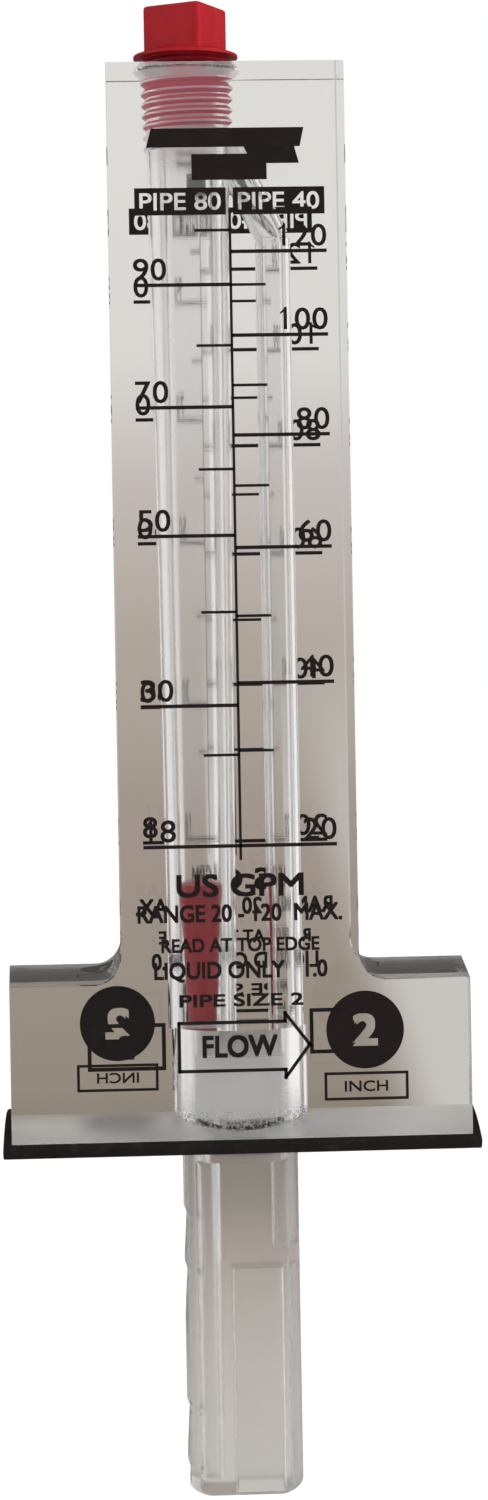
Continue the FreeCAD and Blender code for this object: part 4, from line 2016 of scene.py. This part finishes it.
@dataclass
class Studio:
    """Camera, floor, lamps and the room that the clear parts show."""

    photo_height: int = 1500
    focal: float = 2958.8
    place: tuple[float, float, float] = (-16.17, -445.03, 79.23)
    yaw: float = 2.343
    roll: float = 1.0
    horizon_row: float = 590.3
    sensor: float = 36.0
    floor_z: float = -55.35
    card_y: float = 72.7

    def camera(self) -> bpy.types.Object:
        """The camera, level, with its frame moved down instead of tilting.

        Returns:
            The camera, which is also the scene's.
        """
        data = bpy.data.cameras.new("camera")
        data.sensor_width = self.sensor
        data.lens = self.focal / self.photo_height * self.sensor
        data.shift_y = (self.horizon_row - self.photo_height / 2.0) / self.photo_height
        data.clip_start = 0.01
        data.clip_end = 20.0
        yaw, roll = math.radians(self.yaw), math.radians(self.roll)
        across = Vector((math.cos(yaw), -math.sin(yaw), 0.0))
        ahead = Vector((math.sin(yaw), math.cos(yaw), 0.0))
        up = Vector((0.0, 0.0, 1.0))
        right = across * math.cos(roll) - up * math.sin(roll)
        top = across * math.sin(roll) + up * math.cos(roll)
        turn = Matrix((right, top, -ahead)).transposed()
        made = linked("camera", data)
        made.matrix_world = Matrix.Translation(Vector(self.place) * MM) @ turn.to_4x4()
        bpy.context.scene.camera = made
        return made

    @staticmethod
    def mirrored(path: Placed) -> Signal:
        """1 for a ray that an outer face has mirrored, and 0 for one inside a clear part."""
        return path.signal("Is Glossy Ray") * (1.0 - path.signal("Is Transmission Ray"))

    def floor(self) -> bpy.types.Object:
        """A pale floor. The camera sees it white but for a soft shadow.

        Returns:
            The floor, which only the studio has.
        """
        half = 3.0 / MM
        flat = np.column_stack([rectangle(-half, half, -half, half), np.full(4, self.floor_z)])
        piece = Surface(flat, [[0, 1, 2, 3]]).as_object("floor")
        made, nodes = new_material("pale_floor")
        path = nodes.add("ShaderNodeLightPath")
        lit = nodes.add("ShaderNodeBsdfDiffuse", None, {"Color": grey(0.22)})
        glow = nodes.add("ShaderNodeEmission", None, {"Color": grey(0.89)})
        seen = nodes.add("ShaderNodeAddShader", None, {0: lit, 1: glow})
        clear = nodes.add("ShaderNodeBsdfTransparent")
        bright = nodes.add("ShaderNodeBsdfDiffuse", None, {"Color": grey(0.7)})
        direct = path.signal("Is Camera Ray")
        through = path.signal("Is Transmission Ray").at_least(path.signal("Is Glossy Ray"))
        other = nodes.add("ShaderNodeMixShader", None, {0: through, 1: bright, 2: clear})
        surface = nodes.add("ShaderNodeMixShader", None, {0: direct, 1: other, 2: seen})
        nodes.add("ShaderNodeOutputMaterial", None, {"Surface": surface})
        piece.data.materials.append(made)
        return piece

    def card(self) -> bpy.types.Object:
        """A card close behind, which only clear parts show. It makes their soft sweep.

        Its colour is a ramp over height. To the right of a slanting line it is paler, and
        far out on both sides it is white, where only the bores' walls bend the view.

        Returns:
            The card, which only the studio has.
        """
        low, high = -160.0, 320.0
        corners = rectangle(-260.0, 260.0, low, high)
        flat = np.array([(across, self.card_y, up) for across, up in corners])
        piece = Surface(flat, [[0, 1, 2, 3]]).as_object("back_card")
        made, nodes = new_material("back_card")
        x, _, z = nodes.parts(nodes.place())
        stops = [
            (-73.0, (0.585, 0.565, 0.530)),
            (-61.0, (0.585, 0.530, 0.495)),
            (-44.0, (0.480, 0.425, 0.385)),
            (-33.0, (0.310, 0.266, 0.230)),
            (-24.0, (0.208, 0.175, 0.148)),
            (-6.0, (0.294, 0.251, 0.203)),
            (8.0, (0.317, 0.272, 0.223)),
            (31.0, (0.350, 0.290, 0.252)),
            (43.0, (0.370, 0.312, 0.270)),
            (57.0, (0.416, 0.364, 0.317)),
            (71.0, (0.440, 0.386, 0.332)),
            (98.0, (0.568, 0.510, 0.487)),
            (119.0, (0.725, 0.714, 0.683)),
            (150.0, (0.755, 0.747, 0.716)),
            (200.0, (0.760, 0.755, 0.728)),
        ]
        sweep = nodes.sweep(z, low, high, stops)
        edge = x + 0.27 * z
        paler = edge.ramp(23.0, 37.0) * z.ramp(75.0, 30.0, 0.15, 1.0) * z.ramp(120.0, 90.0)
        colour = nodes.mix(paler, sweep, (0.60, 0.575, 0.545, 1.0))
        colour = nodes.mix(x.ramp(58.0, 85.0), colour, (0.96, 0.95, 0.94, 1.0))
        left = x.ramp(-62.0, -95.0) * z.ramp(-50.0, -10.0, 0.3, 1.0)
        colour = nodes.mix(left, colour, (0.80, 0.79, 0.78, 1.0))
        clear = nodes.add("ShaderNodeBsdfTransparent")
        path = nodes.add("ShaderNodeLightPath")
        colour = nodes.mix(self.mirrored(path), colour, (0.12, 0.11, 0.10, 1.0))
        glow = nodes.add("ShaderNodeEmission", None, {"Color": colour})
        lights = path.signal("Diffuse Depth").at_most(1.0)
        surface = nodes.add("ShaderNodeMixShader", None, {0: lights, 1: glow, 2: clear})
        nodes.add("ShaderNodeOutputMaterial", None, {"Surface": surface})
        piece.data.materials.append(made)
        piece.visible_camera = False
        piece.visible_diffuse = False
        piece.visible_shadow = False
        return piece

    def room(self) -> None:
        """White to the camera. Clear and glossy parts see a sweep that darkens downward.

        The sweep is a ramp over the sine of the ray's elevation. Towards the sides it
        rises to the level of the side panels.
        """
        world = bpy.data.worlds.new("room")
        bpy.context.scene.world = world
        world.use_nodes = True
        nodes = Nodes(world.node_tree)
        path = nodes.add("ShaderNodeLightPath")
        ray = nodes.add("ShaderNodeTexCoord").signal("Generated")
        x, y, z = nodes.parts(ray)
        low, high = -0.5, 0.5
        stops = [
            (-0.50, (0.62, 0.60, 0.57)),
            (-0.306, (0.56, 0.53, 0.50)),
            (-0.208, (0.34, 0.305, 0.27)),
            (-0.17, (0.29, 0.255, 0.22)),
            (-0.13, (0.30, 0.27, 0.235)),
            (-0.10, (0.325, 0.29, 0.265)),
            (-0.071, (0.35, 0.32, 0.30)),
            (-0.03, (0.415, 0.395, 0.37)),
            (0.01, (0.45, 0.435, 0.41)),
            (0.037, (0.55, 0.54, 0.52)),
            (0.078, (0.63, 0.63, 0.61)),
            (0.174, (0.76, 0.76, 0.74)),
            (0.50, (0.85, 0.85, 0.84)),
        ]
        sweep = nodes.sweep(z, low, high, stops)
        level = (x * x + y * y).root()
        sideways = x / level.at_least(0.001)
        ahead = y / level.at_least(0.001)
        right = sideways.ramp(0.35, 0.97)
        left = (0.0 - sideways).ramp(0.35, 0.97)
        behind = (0.0 - ahead).ramp(-0.3, 0.3)
        colour = nodes.mix(right, sweep, (1.0, 1.0, 0.99, 1.0))
        colour = nodes.mix(left, colour, (0.80, 0.80, 0.79, 1.0))
        colour = nodes.mix(behind, colour, (0.45, 0.44, 0.43, 1.0))
        outside = self.mirrored(path)
        colour = nodes.mix(outside * left, colour, grey(0.35))
        colour = nodes.mix(outside * right, colour, grey(1.3))
        colour = nodes.mix(outside * z.ramp(0.06, 0.2), colour, grey(0.65))
        direct = path.signal("Is Camera Ray")
        front = outside * (0.0 - ahead).ramp(0.1, 0.8)
        colour = nodes.mix(front, colour, (0.16, 0.155, 0.15, 1.0))
        colour = nodes.mix(path.signal("Diffuse Depth").at_most(1.0), colour, grey(1.25))
        colour = nodes.mix(path.signal("Is Diffuse Ray"), colour, grey(0.65))
        colour = nodes.mix(direct, colour, grey(1.0))
        sky = nodes.add("ShaderNodeBackground", None, {"Color": colour, "Strength": 1.0})
        nodes.add("ShaderNodeOutputWorld", None, {"Surface": sky})

    def lamp(self, name: str, spot: tuple[float, float, float], size: tuple[float, float],
             power: float) -> bpy.types.Object:
        """A soft panel that looks at the object's middle. Clear and glossy parts don't show it.

        Args:
            name: name of the lamp.
            spot: its place.
            size: width and height of the panel.
            power: in watts.

        Returns:
            The lamp.
        """
        data = bpy.data.lights.new(name, "AREA")
        data.shape = "RECTANGLE"
        data.size = size[0] * MM
        data.size_y = size[1] * MM
        data.energy = power
        made = linked(name, data)
        target = Vector((0.0, 0.0, 60.0))
        made.location = Vector(spot) * MM
        made.rotation_euler = (target - Vector(spot)).to_track_quat("-Z", "Y").to_euler()
        made.visible_transmission = False
        made.visible_glossy = False
        return made

    def build(self) -> None:
        """Makes the whole studio."""
        self.camera()
        self.floor()
        self.card()
        self.room()
        self.lamp("right_panel", (520.0, -420.0, 330.0), (420.0, 520.0), 4.5)
        self.lamp("left_panel", (-620.0, -300.0, 200.0), (360.0, 520.0), 0.8)
        scene = bpy.context.scene
        scene.view_settings.view_transform = "Standard"
        scene.cycles.use_denoising = True
        scene.cycles.max_bounces = 24
        scene.cycles.transmission_bounces = 24
        scene.cycles.glossy_bounces = 8
        scene.cycles.diffuse_bounces = 4


def main() -> None:
    """Builds the pieces in order and says what each one is."""
    logging.basicConfig(level=logging.INFO, format="%(name)s: %(message)s")
    block = ClearBlock()
    block.build()
    Probe().build()
    Gasket().build()
    Float().build()
    Plug().build(block.thread)
    PrintedFace(Side.FRONT, block.half).build()
    PrintedFace(
        Side.BACK, block.half, drop=0.75, line_x=0.2, right_end=14.25, left_end=-13.8,
        right_minor_end=5.28, left_minor_end=-4.9,
    ).build()
    Studio().build()


if __name__ == "__main__":
    main()
